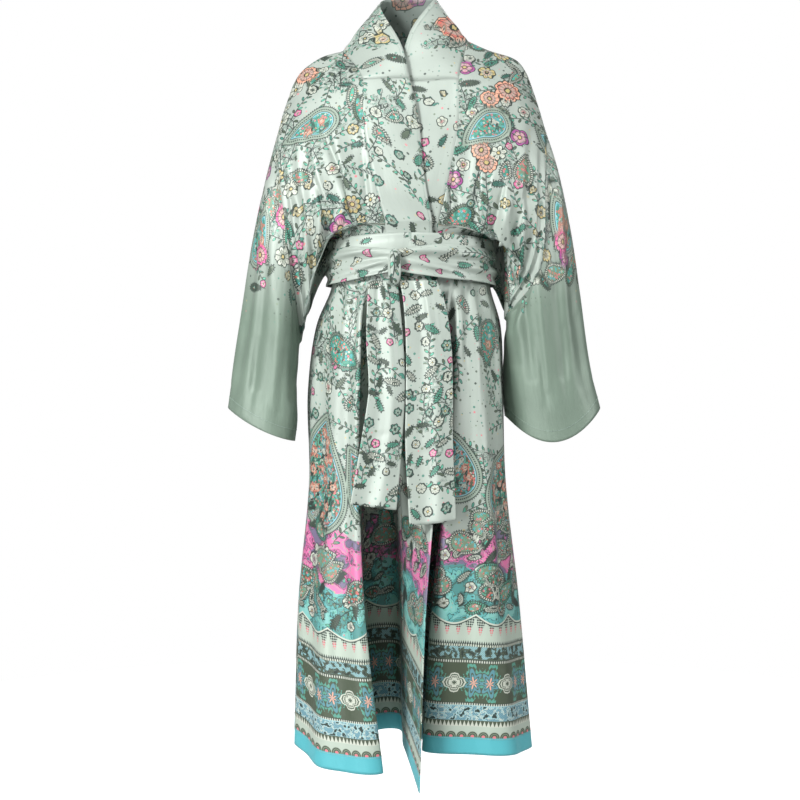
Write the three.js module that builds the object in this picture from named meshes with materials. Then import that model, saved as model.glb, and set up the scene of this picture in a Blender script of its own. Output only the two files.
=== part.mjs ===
import * as THREE from "three";

// A long wrapped robe as it is worn: cloth walls round an empty body. Millimetres, +X to the viewer's right,
// +Y to the back, +Z up. The origin is between the shoulders at the base of the neck.
// Sides are the wearer's, so the right front is at -X.

const WALL = 1.6; // cloth, its facing and its seams as one wall
const BELT_WALL = 1.8;
const SEAM_GAP = 0.3;
const MITRE_LIMIT = 0.25; // least cosine between a wall and the seam it ends on

// Steps of the mesh between one section and the next, from the shoulder to the hem.
const LENGTH_STEPS = [4, 3, 3, 3, 2, 1, 2, 2, 3, 3, 3, 3];
const COLLAR_ROW = 1; // the section where the collar ends and the front bands start
const FOLD_ROW = 4; // the section where the body folds over the belt; the sleeves end above it
const CROSS_STEPS = [3, 2, 2, 2, 1, 2, 1, 2]; // between the named columns of a front panel
const BAND_STEPS = 4; // across the bands and the collar
const NECK_STEPS = 8;
const NECK_SHARE = 0.3; // of the back panel's width, at its middle

const COLOURS = {
  print: 0xa9bdb0,
  plain: 0x9db4a6,
  belt: 0xb4c6ba,
};

// ---- curves and surfaces ----

const point = (p) => new THREE.Vector3(...p);

// A smooth curve through points; the parameter runs 0 to 1 evenly over them.
function curveBy(points) {
  const curve = new THREE.CatmullRomCurve3(points.map(point), false, "centripetal");
  return (t) => curve.getPoint(t);
}

// A smooth curve through points; the parameter runs 0 to 1 by length.
function curveByLength(points) {
  const curve = new THREE.CatmullRomCurve3(points.map(point), false, "centripetal");
  curve.arcLengthDivisions = 400;
  return (t) => curve.getPointAt(Math.min(1, Math.max(0, t)));
}

// The parameters 0 to 1 of a run of spans with these steps each, spans being equally long.
function stations(steps) {
  const list = [0];
  steps.forEach((n, span) => {
    for (let k = 1; k <= n; k++) list.push((span + k / n) / steps.length);
  });
  return list;
}

// Samples along the columns of rows: rows are lists of points, one for each cross station.
function lengthwise(rows, steps, breakRow) {
  const columns = rows[0].map((_, i) => rows.map((row) => row[i]));
  return columns.map((column) => {
    const runs = breakRow ? [column.slice(0, breakRow + 1), column.slice(breakRow)] : [column];
    const stepRuns = breakRow ? [steps.slice(0, breakRow), steps.slice(breakRow)] : [steps];
    return runs.flatMap((run, k) => {
      const curve = new THREE.CatmullRomCurve3(run, false, "centripetal");
      const samples = stations(stepRuns[k]).map((t) => curve.getPoint(t));
      return k ? samples.slice(1) : samples;
    });
  });
}

const stepsUpTo = (row) => LENGTH_STEPS.slice(0, row).reduce((a, b) => a + b, 0);

// ---- sections ----

// Shoulder seams, from the sleeve to the neck.
const SHOULDER_RIGHT = curveByLength([
  [-233, -5, -96], [-222, -4, -64], [-213, -3, -40], [-198, 0, -16], [-162, 0, 9], [-124, 0, 20],
]);
const SHOULDER_LEFT = curveByLength([
  [236, -5, -96], [224, -3, -58], [208, 0, -16], [191, 0, 4], [140, 0, 22], [104, 0, 38],
]);
const NECK_BACK = curveByLength([
  [-124, 0, 20], [-112, 44, 27], [-66, 78, 33], [0, 90, 36], [60, 80, 39], [96, 44, 41], [104, 0, 38],
]);

// The body above the belt. A front section runs from the sleeve to the band's seam, then over the band.
const RIGHT_FRONT_TOP = [
  {
    panel: [[-238, -36, -140], [-203, -55, -105], [-165, -66, -75], [-125, -74, -58], [-86, -80, -48]],
    band: [[-45, -85, -48], [-3, -86, -48]],
  },
  {
    panel: [[-234, -68, -215], [-198, -95, -195], [-160, -107, -172], [-120, -109, -150], [-84, -107, -130]],
    band: [[-36, -109, -122], [11, -107, -113]],
  },
  {
    panel: [[-218, -80, -343], [-188, -104, -312], [-150, -117, -284], [-105, -122, -262], [-62, -122, -246]],
    band: [[-18, -124, -242], [24, -121, -236]],
  },
  {
    panel: [[-197, -30, -509], [-178, -66, -428], [-154, -92, -344], [-118, -109, -313], [-80, -114, -308],
      [-45, -119, -306]],
    band: [[-5, -123, -305], [36, -122, -304]],
  },
  {
    panel: [[-164, -8, -319], [-149, -60, -318], [-124, -88, -316], [-88, -106, -313], [-46, -116, -312]],
    band: [[-5, -121, -311], [36, -119, -311]],
  },
  {
    panel: [[-145, -8, -326], [-132, -54, -325], [-114, -77, -324], [-84, -98, -323], [-46, -112, -323]],
    band: [[-5, -118, -322], [36, -117, -322]],
  },
];
const LEFT_FRONT_TOP = [
  {
    panel: [[239, -36, -140], [205, -55, -98], [168, -64, -66], [125, -70, -50], [84, -74, -46]],
    band: [[34, -78, -50], [-25, -75, -54]],
  },
  {
    panel: [[238, -68, -225], [200, -92, -200], [160, -103, -172], [118, -104, -148], [82, -101, -130]],
    band: [[34, -103, -124], [-14, -100, -118]],
  },
  {
    panel: [[227, -76, -385], [197, -102, -330], [155, -114, -290], [104, -117, -264], [60, -116, -248]],
    band: [[12, -117, -242], [-36, -114, -238]],
  },
  {
    panel: [[168, -20, -468], [192, -70, -378], [172, -86, -352], [134, -98, -328], [94, -107, -315],
      [46, -112, -309]],
    band: [[0, -115, -307], [-48, -112, -306]],
  },
  {
    panel: [[164, -8, -321], [150, -58, -320], [126, -84, -318], [90, -102, -316], [46, -110, -313]],
    band: [[0, -114, -312], [-48, -111, -312]],
  },
  {
    panel: [[145, -8, -328], [132, -52, -327], [113, -74, -326], [84, -94, -325], [46, -106, -325]],
    band: [[0, -111, -324], [-48, -105, -323]],
  },
];
const BACK_TOP = [
  [[-239, 30, -140], [-190, 66, -95], [-120, 92, -62], [-50, 103, -48], [20, 104, -45], [90, 98, -50],
    [160, 80, -72], [206, 56, -105], [240, 28, -142]],
  [[-236, 58, -215], [-190, 88, -190], [-110, 108, -172], [0, 114, -165], [110, 110, -172], [192, 88, -190],
    [238, 56, -235]],
  [[-226, 52, -345], [-186, 88, -325], [-110, 108, -300], [0, 113, -292], [110, 108, -300], [190, 88, -335],
    [228, 52, -388]],
  [[-197, -30, -509], [-188, 28, -452], [-150, 74, -372], [-80, 104, -330], [0, 113, -322], [85, 104, -332],
    [150, 80, -400], [178, 38, -470], [168, -20, -468]],
  [[-164, -8, -319], [-146, 52, -316], [-92, 94, -312], [0, 108, -311], [92, 94, -312], [146, 52, -317],
    [164, -8, -321]],
  [[-145, -8, -326], [-128, 45, -320], [-80, 80, -318], [0, 94, -317], [80, 80, -318], [128, 45, -321],
    [145, -8, -328]],
];

// The skirt, section by section. Columns of the right front: side, flank, face, crest, ridge, turn, recess,
// valley, seam, band, edge. The ridge is the fold's outer edge; the recess is its deep inside.
const RIGHT_FRONT_SKIRT = [
  { z: -405, at: [[-143, -10], [-130, -56], [-112, -77], [-98, -88], [-84, -97], [-76, -101], [-67, -105],
    [-58, -108], [-48, -111], [-6, -117], [36, -115]] },
  { z: -480, at: [[-172, -4], [-154, -62], [-124, -98], [-101, -116], [-85, -126], [-76, -112], [-69, -101],
    [-58, -101], [-48, -114], [-6, -130], [37, -126]] },
  { z: -600, at: [[-188, 2], [-174, -66], [-140, -112], [-108, -132], [-86, -139], [-80, -112], [-72, -86],
    [-53, -82], [-41, -104], [-2, -131], [38, -133]] },
  { z: -760, at: [[-186, 8], [-177, -72], [-142, -122], [-110, -144], [-87, -149], [-86, -104], [-80, -44],
    [-40, -34], [-22, -70], [6, -108], [40, -141]] },
  { z: -980, at: [[-206, 16], [-196, -74], [-154, -132], [-112, -157], [-76, -161], [-84, -96], [-82, -10],
    [-34, 0], [-15, -66], [3, -122], [23, -176]] },
  { z: -1222, at: [[-214, 22, 6], [-205, -66, -8], [-165, -128, -26], [-110, -163, -31], [-44, -165, -29],
    [-62, -96, -16], [-70, -4, 2], [-28, 10, 4], [-13, -66, -10], [0, -132, -32], [12, -200, -54]] },
];
// Columns of the left front: side, flank, face, crest, ridge, turn, lap, inside, seam, band, edge. From the
// turn on it runs under the right front.
const LEFT_FRONT_SKIRT = [
  { z: -405, at: [[143, -10], [130, -54], [112, -74], [98, -84], [84, -92], [76, -96], [67, -99],
    [58, -102], [46, -104], [0, -110], [-48, -103]] },
  { z: -480, at: [[163, -4], [151, -56], [128, -92], [104, -112], [80, -121], [66, -113], [56, -106],
    [46, -104], [36, -105], [-10, -103], [-54, -88]] },
  { z: -600, at: [[168, 2], [159, -62], [134, -104], [106, -124], [72, -129], [60, -108], [50, -84],
    [38, -70], [26, -63], [-18, -55], [-58, -44]] },
  { z: -760, at: [[173, 8], [167, -62], [144, -112], [106, -132], [60, -130], [52, -96], [44, -56],
    [30, -26], [14, -8], [-28, 3], [-66, 20]] },
  { z: -980, at: [[198, 16], [191, -64], [162, -122], [108, -142], [36, -134], [30, -90], [26, -44],
    [18, -4], [4, 20], [-38, 36], [-80, 44]] },
  { z: -1222, at: [[221, 24, -12], [214, -62, -10], [185, -124, -8], [110, -141, -6], [20, -133, 0],
    [16, -84, 2], [14, -36, 4], [8, 10, 6], [-6, 42, 8], [-48, 56, 10], [-90, 64, 12]] },
];
const BACK_SKIRT = [
  { z: -405, at: [[-143, -10], [-130, 42], [-83, 80], [0, 95], [84, 80], [130, 42], [143, -10]] },
  { z: -480, at: [[-172, -4], [-158, 54], [-96, 96], [0, 107], [96, 96], [150, 54], [163, -4]] },
  { z: -600, at: [[-188, 2], [-176, 66], [-104, 105], [0, 112], [100, 105], [158, 62], [168, 2]] },
  { z: -760, at: [[-186, 8], [-178, 74], [-108, 111], [0, 116], [104, 111], [166, 72], [173, 8]] },
  { z: -980, at: [[-206, 16], [-198, 84], [-118, 118], [0, 122], [116, 118], [190, 82], [198, 16]] },
  { z: -1222, at: [[-214, 22, 6], [-206, 92, 0], [-124, 124, -4], [0, 128, -4], [124, 124, -6],
    [212, 92, -10], [221, 24, -12]] },
];

// Gathers: soft folds that run down the cloth, counted over a panel, with their depth at each section.
const GATHERS = {
  rightFront: { count: 5, phase: 0.3, depths: [0, 0, 3, 6, 6, 4, 2, 2, 6, 7, 8, 9, 9] },
  leftFront: { count: 5, phase: 0.1, depths: [0, 0, 4, 8, 6, 4, 2, 2, 6, 7, 8, 9, 9] },
  back: { count: 8, phase: 0.2, depths: [0, 1, 3, 6, 6, 4, 2, 2, 8, 10, 12, 14, 15] },
};

const expand = (skirt) => skirt.map(({ z, at }) => at.map(([x, y, dz = 0]) => [x, y, z + dz]));

// ---- body panels ----

const SEAM_COLUMN = CROSS_STEPS.length;
const BAND_SPANS = 2;
const panelStations = stations(CROSS_STEPS);
const bandStations = stations([BAND_STEPS]);

// The points of each section of a front: across the panel, then across the band, the seam's point in both.
function frontRows(shoulder, top, skirt) {
  const rows = [{ panel: panelStations.map((t) => shoulder(t)) }];
  top.forEach(({ panel, band }) => {
    const across = curveByLength([...panel, ...band]);
    const share = seamShare(across, panel[panel.length - 1]);
    rows.push({
      panel: panelStations.map((t) => across(t * share)),
      band: bandStations.map((t) => across(share + t * (1 - share))),
    });
  });
  expand(skirt).forEach((points) => {
    const across = curveBy(points);
    const share = SEAM_COLUMN / (SEAM_COLUMN + BAND_SPANS);
    rows.push({
      panel: panelStations.map((t) => across(t * share)),
      band: bandStations.map((t) => across(share + t * (1 - share))),
    });
  });
  return rows;
}

// Where along a curve the seam's point lies.
function seamShare(curve, seam) {
  const target = point(seam);
  let best = 0;
  for (let k = 0; k <= 1000; k++) {
    if (curve(k / 1000).distanceTo(target) < curve(best).distanceTo(target)) best = k / 1000;
  }
  return best;
}

function backRows() {
  const side = (1 - NECK_SHARE) / 2;
  const across = [
    ...panelStations.map((t) => t * side),
    ...stations([NECK_STEPS]).slice(1, -1).map((t) => side + t * NECK_SHARE),
    ...panelStations.map((t) => 1 - t * side).reverse(),
  ];
  const top = [
    ...panelStations.map((t) => SHOULDER_RIGHT(t)),
    ...stations([NECK_STEPS]).slice(1, -1).map((t) => NECK_BACK(t)),
    ...panelStations.map((t) => SHOULDER_LEFT(t)).reverse(),
  ];
  const below = [...BACK_TOP, ...expand(BACK_SKIRT)].map((points) => {
    const section = curveByLength(points);
    return across.map((t) => section(t));
  });
  return [top, ...below];
}

// A number for each station down the cloth from one for each section.
function downTheCloth(values) {
  const list = [values[0]];
  LENGTH_STEPS.forEach((n, span) => {
    for (let k = 1; k <= n; k++) list.push(THREE.MathUtils.lerp(values[span], values[span + 1], k / n));
  });
  return list;
}

// Presses the gathers into a panel, along its normals, and leaves its edges where they are.
function gather(grid, { count, phase, depths }, outward) {
  const depth = downTheCloth(depths);
  const normals = gridNormals(grid, false, outward);
  const last = grid.length - 1;
  return grid.map((column, i) => column.map((p, j) => {
    const across = i / last;
    const hold = Math.min(1, Math.min(across, 1 - across) * 6);
    const wave = 0.5 - 0.5 * Math.cos(2 * Math.PI * (count * across + phase * Math.sin(3 * across)));
    return p.clone().addScaledVector(normals[i][j], -depth[j] * wave * hold);
  }));
}

// ---- walls ----

// Unit normals of a grid of points, facing out.
function gridNormals(grid, closed, outward) {
  const last = grid.length - 1;
  const rowLast = grid[0].length - 1;
  const at = (i) => (closed ? (i + grid.length) % grid.length : Math.min(last, Math.max(0, i)));
  return grid.map((column, i) => column.map((_, j) => {
    const across = grid[at(i + 1)][j].clone().sub(grid[at(i - 1)][j]);
    const down = column[Math.min(rowLast, j + 1)].clone().sub(column[Math.max(0, j - 1)]);
    return across.cross(down).multiplyScalar(outward).normalize();
  }));
}

const key = (p) => [p.x, p.y, p.z].map((c) => Math.round(c * 50)).join(" ");

// Panels that are sewn together share the points of their seams. At such a point their walls end on one common
// direction, half the seam's gap short of it.
function sew(panels) {
  const shared = new Map();
  panels.forEach((panel) => {
    panel.normals = gridNormals(panel.grid, panel.closed, panel.outward);
    eachEdge(panel, (i, j) => {
      const name = key(panel.grid[i][j]);
      const entry = shared.get(name) ?? { sum: new THREE.Vector3(), panels: new Set() };
      entry.sum.add(panel.normals[i][j]);
      entry.panels.add(panel);
      shared.set(name, entry);
    });
  });
  return panels.map((panel) => {
    const outer = panel.grid.map((column) => column.map((p) => p.clone()));
    const inner = panel.grid.map((column, i) => column.map((p, j) => (
      p.clone().addScaledVector(panel.normals[i][j], -panel.wall)
    )));
    eachEdge(panel, (i, j) => {
      const entry = shared.get(key(panel.grid[i][j]));
      if (entry.panels.size < 2) return;
      const common = entry.sum.clone().normalize();
      const mitre = Math.max(MITRE_LIMIT, common.dot(panel.normals[i][j]));
      const back = intoPanel(panel, i, j).multiplyScalar(SEAM_GAP / 2);
      inner[i][j].copy(panel.grid[i][j]).addScaledVector(common, -panel.wall / mitre).add(back);
      outer[i][j].add(back);
    });
    return mesh(panel, outer, inner);
  });
}

function eachEdge({ grid, closed }, visit) {
  const last = grid.length - 1;
  const rowLast = grid[0].length - 1;
  grid.forEach((column, i) => column.forEach((_, j) => {
    if (j === 0 || j === rowLast || (!closed && (i === 0 || i === last))) visit(i, j);
  }));
}

// The unit direction from an edge point into its panel.
function intoPanel({ grid, closed }, i, j) {
  const last = grid.length - 1;
  const rowLast = grid[0].length - 1;
  const way = new THREE.Vector3();
  const towards = (a, b) => way.add(grid[a][b].clone().sub(grid[i][j]).normalize());
  if (!closed && i === 0) towards(1, j);
  if (!closed && i === last) towards(last - 1, j);
  if (j === 0) towards(i, 1);
  if (j === rowLast) towards(i, rowLast - 1);
  return way.normalize();
}

// A closed wall from its outer and inner points.
function mesh({ name, grid, closed, outward, colour }, outer, inner) {
  const columns = outer.length;
  const rows = outer[0].length;
  const index = [];
  const at = (side, i, j) => side * columns * rows + (i % columns) * rows + j;
  const triangle = (a, b, c) => (outward > 0 ? index.push(a, b, c) : index.push(a, c, b));
  const quad = (a, b, c, d) => {
    triangle(a, b, c);
    triangle(a, c, d);
  };
  // An edge's face between two of its points, cut along the same diagonal as its neighbour's across the seam.
  const rim = (from, to) => {
    const [a, b] = [from, to].map(([i, j]) => at(0, i, j));
    const [c, d] = [to, from].map(([i, j]) => at(1, i, j));
    const [p, q] = [from, to].map(([i, j]) => key(grid[i % columns][j]));
    if (p < q) quad(a, b, c, d);
    else quad(b, c, d, a);
  };
  const spans = closed ? columns : columns - 1;
  for (let i = 0; i < spans; i++) {
    for (let j = 0; j < rows - 1; j++) {
      quad(at(0, i, j), at(0, i + 1, j), at(0, i + 1, j + 1), at(0, i, j + 1));
      quad(at(1, i, j), at(1, i, j + 1), at(1, i + 1, j + 1), at(1, i + 1, j));
    }
    rim([i + 1, 0], [i, 0]);
    rim([i, rows - 1], [i + 1, rows - 1]);
  }
  for (let j = 0; !closed && j < rows - 1; j++) {
    rim([0, j], [0, j + 1]);
    rim([columns - 1, j + 1], [columns - 1, j]);
  }
  const positions = [outer, inner].flat(2).flatMap((p) => p.toArray());
  const geometry = new THREE.BufferGeometry();
  geometry.setAttribute("position", new THREE.Float32BufferAttribute(positions, 3));
  geometry.setIndex(index);
  geometry.computeVertexNormals();
  const made = new THREE.Mesh(geometry, new THREE.MeshStandardMaterial({ color: colour }));
  made.name = name;
  return made;
}

// ---- fronts and back ----

function front(side, shoulder, top, skirt, gathers, outward) {
  const rows = frontRows(shoulder, top, skirt);
  const plain = lengthwise(rows.map((row) => row.panel), LENGTH_STEPS, FOLD_ROW);
  const panelGrid = gather(plain, gathers, outward);
  const bandRows = rows.slice(COLLAR_ROW).map((row) => row.band);
  const bandGrid = lengthwise(bandRows, LENGTH_STEPS.slice(COLLAR_ROW), FOLD_ROW - COLLAR_ROW);
  const seam = panelGrid[panelGrid.length - 1].slice(stepsUpTo(COLLAR_ROW));
  bandGrid[0] = seam.map((p) => p.clone());
  return [
    { name: `front_${side}`, grid: panelGrid, closed: false, outward, wall: WALL, colour: COLOURS.print },
    { name: `band_${side}`, grid: bandGrid, closed: false, outward, wall: WALL, colour: COLOURS.print },
  ];
}

const [frontRight, bandRight] = front(
  "right", SHOULDER_RIGHT, RIGHT_FRONT_TOP, RIGHT_FRONT_SKIRT, GATHERS.rightFront, -1,
);
const [frontLeft, bandLeft] = front(
  "left", SHOULDER_LEFT, LEFT_FRONT_TOP, LEFT_FRONT_SKIRT, GATHERS.leftFront, 1,
);

function backPanel() {
  const plain = lengthwise(backRows(), LENGTH_STEPS, FOLD_ROW);
  const grid = gather(plain, GATHERS.back, 1);
  return { name: "back", grid, closed: false, outward: 1, wall: WALL, colour: COLOURS.print };
}
const back = backPanel();

// The side seams are one line for front and back from the fold down.
const foldStation = stepsUpTo(FOLD_ROW);
function joinSides(frontPanel, backColumn) {
  for (let j = foldStation; j < backColumn.length; j++) backColumn[j] = frontPanel.grid[0][j].clone();
}
joinSides(frontRight, back.grid[0]);
joinSides(frontLeft, back.grid[back.grid.length - 1]);

// ---- collar ----

// The collar's free edge, from the right front round the neck to the left front.
const COLLAR_EDGE = [
  [-3, -86, -48], [-16, -67, 12], [-56, 6, 103], [-46, 50, 128], [0, 64, 135], [44, 46, 130], [38, 6, 112],
  [-3, -48, 42], [-25, -75, -54],
];
const COLLAR_EDGE_STEPS = [2, 2, 2, 2, 2, 2, 2, 2];
const COLLAR_SWELL = 5; // how far its middle stands out from a flat strip

function collar() {
  const rise = stepsUpTo(COLLAR_ROW);
  const panelEnd = panelStations.length - 1;
  const seam = [
    ...frontRight.grid[panelEnd].slice(0, rise + 1).reverse(),
    ...Array.from({ length: NECK_STEPS - 1 }, (_, k) => back.grid[panelEnd + 1 + k][0]),
    ...frontLeft.grid[panelEnd].slice(0, rise + 1),
  ];
  const edge = stations(COLLAR_EDGE_STEPS).map(curveBy(COLLAR_EDGE));
  const grid = seam.map((from, k) => {
    const to = edge[k];
    const out = new THREE.Vector3(from.x + to.x, from.y + to.y, 0).normalize();
    return stations([BAND_STEPS]).map((t) => (
      from.clone().lerp(to, t).addScaledVector(out, 4 * COLLAR_SWELL * t * (1 - t))
    ));
  });
  grid[0] = bandTop(bandRight);
  grid[grid.length - 1] = bandTop(bandLeft);
  return { name: "collar", grid, closed: false, outward: -1, wall: WALL, colour: COLOURS.print };
}

function bandTop(band) {
  return band.grid.map((column) => column[0].clone());
}

// ---- sleeves ----

// Sections of a sleeve below the armhole. The top and bottom points lie on its two folds, and front and back
// say how far it swells from the line between them, bow how far that line bends sideways, drop how far its
// front edge hangs below it.
const SLEEVE_RIGHT = [
  { top: [-262, -6, -212], bottom: [-202, -34, -548], front: 66, back: 62, bow: -16, drop: 0 },
  { top: [-283, -8, -320], bottom: [-205, -36, -582], front: 62, back: 58, bow: -10, drop: 0 },
  { top: [-301, -10, -438], bottom: [-205, -38, -615], front: 58, back: 54, bow: -4, drop: 2 },
  { top: [-320, -10, -548], bottom: [-204, -40, -652], front: 56, back: 52, bow: 0, drop: 5 },
  { top: [-331, -12, -628], bottom: [-208, -42, -688], front: 58, back: 52, bow: 0, drop: 8 },
];
const SLEEVE_LEFT = [
  { top: [262, -6, -190], bottom: [168, -12, -500], front: 68, back: 60, bow: 38, drop: 14 },
  { top: [284, -8, -300], bottom: [168, -4, -530], front: 66, back: 58, bow: 28, drop: 22 },
  { top: [303, -10, -430], bottom: [167, 4, -562], front: 64, back: 56, bow: 14, drop: 32 },
  { top: [322, -10, -548], bottom: [168, 12, -602], front: 62, back: 52, bow: 6, drop: 42 },
  { top: [342, -12, -628], bottom: [172, 20, -644], front: 64, back: 50, bow: 0, drop: 54 },
];
const SLEEVE_STEPS = [2, 2, 2, 2, 2];

// A point of a section; turn runs from 0 at the top over the front to 0.5 at the bottom and back up.
function sleevePoint({ top, bottom, front, back: rear, bow, drop }, turn) {
  const angle = 2 * Math.PI * turn;
  const side = Math.sin(angle);
  const swell = Math.sign(side) * Math.abs(side) ** 0.8;
  const p = point(top).lerp(point(bottom), (1 - Math.cos(angle)) / 2);
  p.y -= swell > 0 ? swell * front : swell * rear;
  p.x += side ** 2 * bow;
  p.z -= Math.max(0, side) ** 2 * drop;
  return p;
}

function sleeve(side, frontEdge, backEdge, sections, outward) {
  const armhole = [
    ...frontEdge.slice(0, foldStation + 1),
    ...backEdge.slice(1, foldStation).reverse(),
  ];
  const grid = armhole.map((start, k) => {
    const turn = k / armhole.length;
    const points = [start.clone(), ...sections.map((section) => sleevePoint(section, turn))];
    const curve = new THREE.CatmullRomCurve3(points, false, "centripetal");
    return stations(SLEEVE_STEPS).map((t) => curve.getPoint(t));
  });
  return { name: `sleeve_${side}`, grid, closed: true, outward, wall: WALL, colour: COLOURS.plain };
}

// ---- belt ----

const WAIST = { x: 0, y: -10 }; // the belt's middle
// Each pass of the belt: the ellipse it lies on, its edges at the front middle and how it leans and creases.
const BELT_WRAP = {
  a: 149, b: 113, top: -324, bottom: -372, steps: 44, across: 2, crease: 0, creases: 1,
};
const BELT_PASS = {
  a: 151.4, b: 115.4, top: -342, bottom: -403, steps: 44, across: 7, crease: 3.2, creases: 2.5,
};
const BELT_LEAN = 6; // the belt sits lower at the sides by this much

function beltPoint({ a, b, top, bottom, crease, creases }, angle, t, height = 1) {
  const middle = (top + bottom) / 2;
  const half = ((top - bottom) / 2) * height;
  const out = crease * 0.5 * (1 - Math.cos(2 * Math.PI * creases * t));
  return new THREE.Vector3(
    WAIST.x + (a + out) * Math.sin(angle),
    WAIST.y - (b + out) * Math.cos(angle),
    middle + half * (1 - 2 * t) - BELT_LEAN * Math.sin(angle) ** 2,
  );
}

function beltWrap() {
  const grid = Array.from({ length: BELT_WRAP.steps }, (_, i) => (
    stations([BELT_WRAP.across]).map((t) => beltPoint(BELT_WRAP, (2 * Math.PI * i) / BELT_WRAP.steps, t))
  ));
  return { name: "belt_wrap", grid, closed: true, outward: -1, wall: BELT_WALL, colour: COLOURS.belt };
}

// The lower pass starts and ends under the knot, drawn together there.
const KNOT = { x: -29, y: -137.4, z: -385, half: [12, 11, 31] };
const PASS_START = 0.0003;
const PASS_END = 0.9997;
const PASS_DRAWN = 0.6; // its height at the knot, as a share

function beltPass() {
  const knotTurn = Math.asin(KNOT.x / BELT_PASS.a) / (2 * Math.PI);
  const grid = stations([BELT_PASS.steps]).map((s) => {
    const turn = knotTurn + THREE.MathUtils.lerp(PASS_START, PASS_END, s);
    const nearKnot = Math.max(0, 1 - Math.min(s, 1 - s) * 9);
    const height = 1 - (1 - PASS_DRAWN) * nearKnot ** 1.5;
    return stations([BELT_PASS.across]).map((t) => beltPoint(BELT_PASS, 2 * Math.PI * turn, t, height));
  });
  return { name: "belt_pass", grid, closed: false, outward: -1, wall: BELT_WALL, colour: COLOURS.belt };
}

// The hanging ends, from the knot down: the left and right edge of the strip and how far it lies in front.
const BELT_END_RIGHT = [
  { left: -73, right: -24, y: -128.7, z: -408 },
  { left: -76, right: -21, y: -138, z: -440 },
  { left: -78, right: -14, y: -145, z: -512 },
  { left: -74, right: -11, y: -152, z: -598 },
  { left: -86, right: -16, y: -159, z: -684 },
  { left: -105, right: -26, y: -168, z: -798 },
];
const BELT_END_LEFT = [
  { left: -20.8, right: 44, y: -129.1, z: -408 },
  { left: -15, right: 56, y: -136, z: -440 },
  { left: -10, right: 68, y: -143, z: -512 },
  { left: -10, right: 71, y: -150, z: -600 },
  { left: -11, right: 71, y: -156, z: -690 },
  { left: -4, right: 76, y: -163, z: -826 },
];
const END_STEPS = [2, 2, 3, 3, 3];
const END_ACROSS = 8;
const END_WAVE = 3; // depth of the folds that run down an end
const END_WAVES = 1.5;
const END_SLANT = 10; // a belt's end is cut aslant by this much

function beltEnd(side, table, slant) {
  const across = stations([END_ACROSS]);
  const rows = table.map(({ left, right, y, z }, k) => across.map((t) => {
    const hang = (k / (table.length - 1)) ** 3 * slant * (t - 0.5);
    return new THREE.Vector3(
      THREE.MathUtils.lerp(left, right, t),
      y - END_WAVE * Math.cos(2 * Math.PI * END_WAVES * t),
      z - hang,
    );
  }));
  const grid = lengthwise(rows, END_STEPS);
  const name = `belt_end_${side}`;
  return { name, grid, closed: false, outward: -1, wall: BELT_WALL, colour: COLOURS.belt };
}

const KNOT_ROUND = 20;
const KNOT_DOWN = 12;
const KNOT_CREASES = 5;
const KNOT_CREASE = 0.1; // share of its half width that its creases take

function beltKnot() {
  const { half } = KNOT;
  const geometry = new THREE.SphereGeometry(1, KNOT_ROUND, KNOT_DOWN);
  geometry.rotateX(Math.PI / 2);
  const position = geometry.getAttribute("position");
  const square = (c) => Math.sign(c) * Math.abs(c) ** 0.8;
  for (let k = 0; k < position.count; k++) {
    const p = new THREE.Vector3().fromBufferAttribute(position, k);
    const fold = 0.5 + 0.5 * Math.cos(KNOT_CREASES * Math.atan2(p.y, p.x));
    const crease = 1 - KNOT_CREASE * (1 - p.z ** 2) * fold;
    const at = [square(p.x) * half[0] * crease, square(p.y) * half[1] * crease, square(p.z) * half[2]];
    position.setXYZ(k, ...at);
  }
  geometry.translate(KNOT.x, KNOT.y, KNOT.z);
  const made = new THREE.Mesh(geometry, new THREE.MeshStandardMaterial({ color: COLOURS.belt }));
  made.name = "belt_knot";
  return made;
}

// ---- assembly ----

const sleeveRight = sleeve("right", frontRight.grid[0], back.grid[0], SLEEVE_RIGHT, -1);
const sleeveLeft = sleeve("left", frontLeft.grid[0], back.grid[back.grid.length - 1], SLEEVE_LEFT, 1);

const robe = new THREE.Group();
robe.name = "robe";
const cloth = [frontRight, bandRight, frontLeft, bandLeft, back, collar(), sleeveRight, sleeveLeft];
robe.add(...sew(cloth));
const belt = [
  beltWrap(),
  beltPass(),
  beltEnd("right", BELT_END_RIGHT, END_SLANT),
  beltEnd("left", BELT_END_LEFT, -END_SLANT),
];
robe.add(...sew(belt));
robe.add(beltKnot());

export default robe;
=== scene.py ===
import bpy
import numpy as np
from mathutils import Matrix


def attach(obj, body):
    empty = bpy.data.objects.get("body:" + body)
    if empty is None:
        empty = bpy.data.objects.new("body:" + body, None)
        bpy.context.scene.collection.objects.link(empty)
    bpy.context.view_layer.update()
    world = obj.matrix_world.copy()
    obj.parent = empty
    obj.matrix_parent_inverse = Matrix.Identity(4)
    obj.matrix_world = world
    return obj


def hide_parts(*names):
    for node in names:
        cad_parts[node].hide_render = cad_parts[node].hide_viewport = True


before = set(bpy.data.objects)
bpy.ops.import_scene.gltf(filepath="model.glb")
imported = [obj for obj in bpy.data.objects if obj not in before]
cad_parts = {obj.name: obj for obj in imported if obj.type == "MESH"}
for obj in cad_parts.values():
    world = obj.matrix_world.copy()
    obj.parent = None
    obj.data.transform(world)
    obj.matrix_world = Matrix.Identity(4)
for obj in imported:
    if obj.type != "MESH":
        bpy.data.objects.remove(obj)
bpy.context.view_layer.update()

# ---- Right front ----
# The front that lies on top: one length of printed satin from the shoulder to the hem, gathered above and below
# the belt, with one deep fold pressed in beside its band. It is sewn to the back, the band, the collar and the sleeve.


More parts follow.
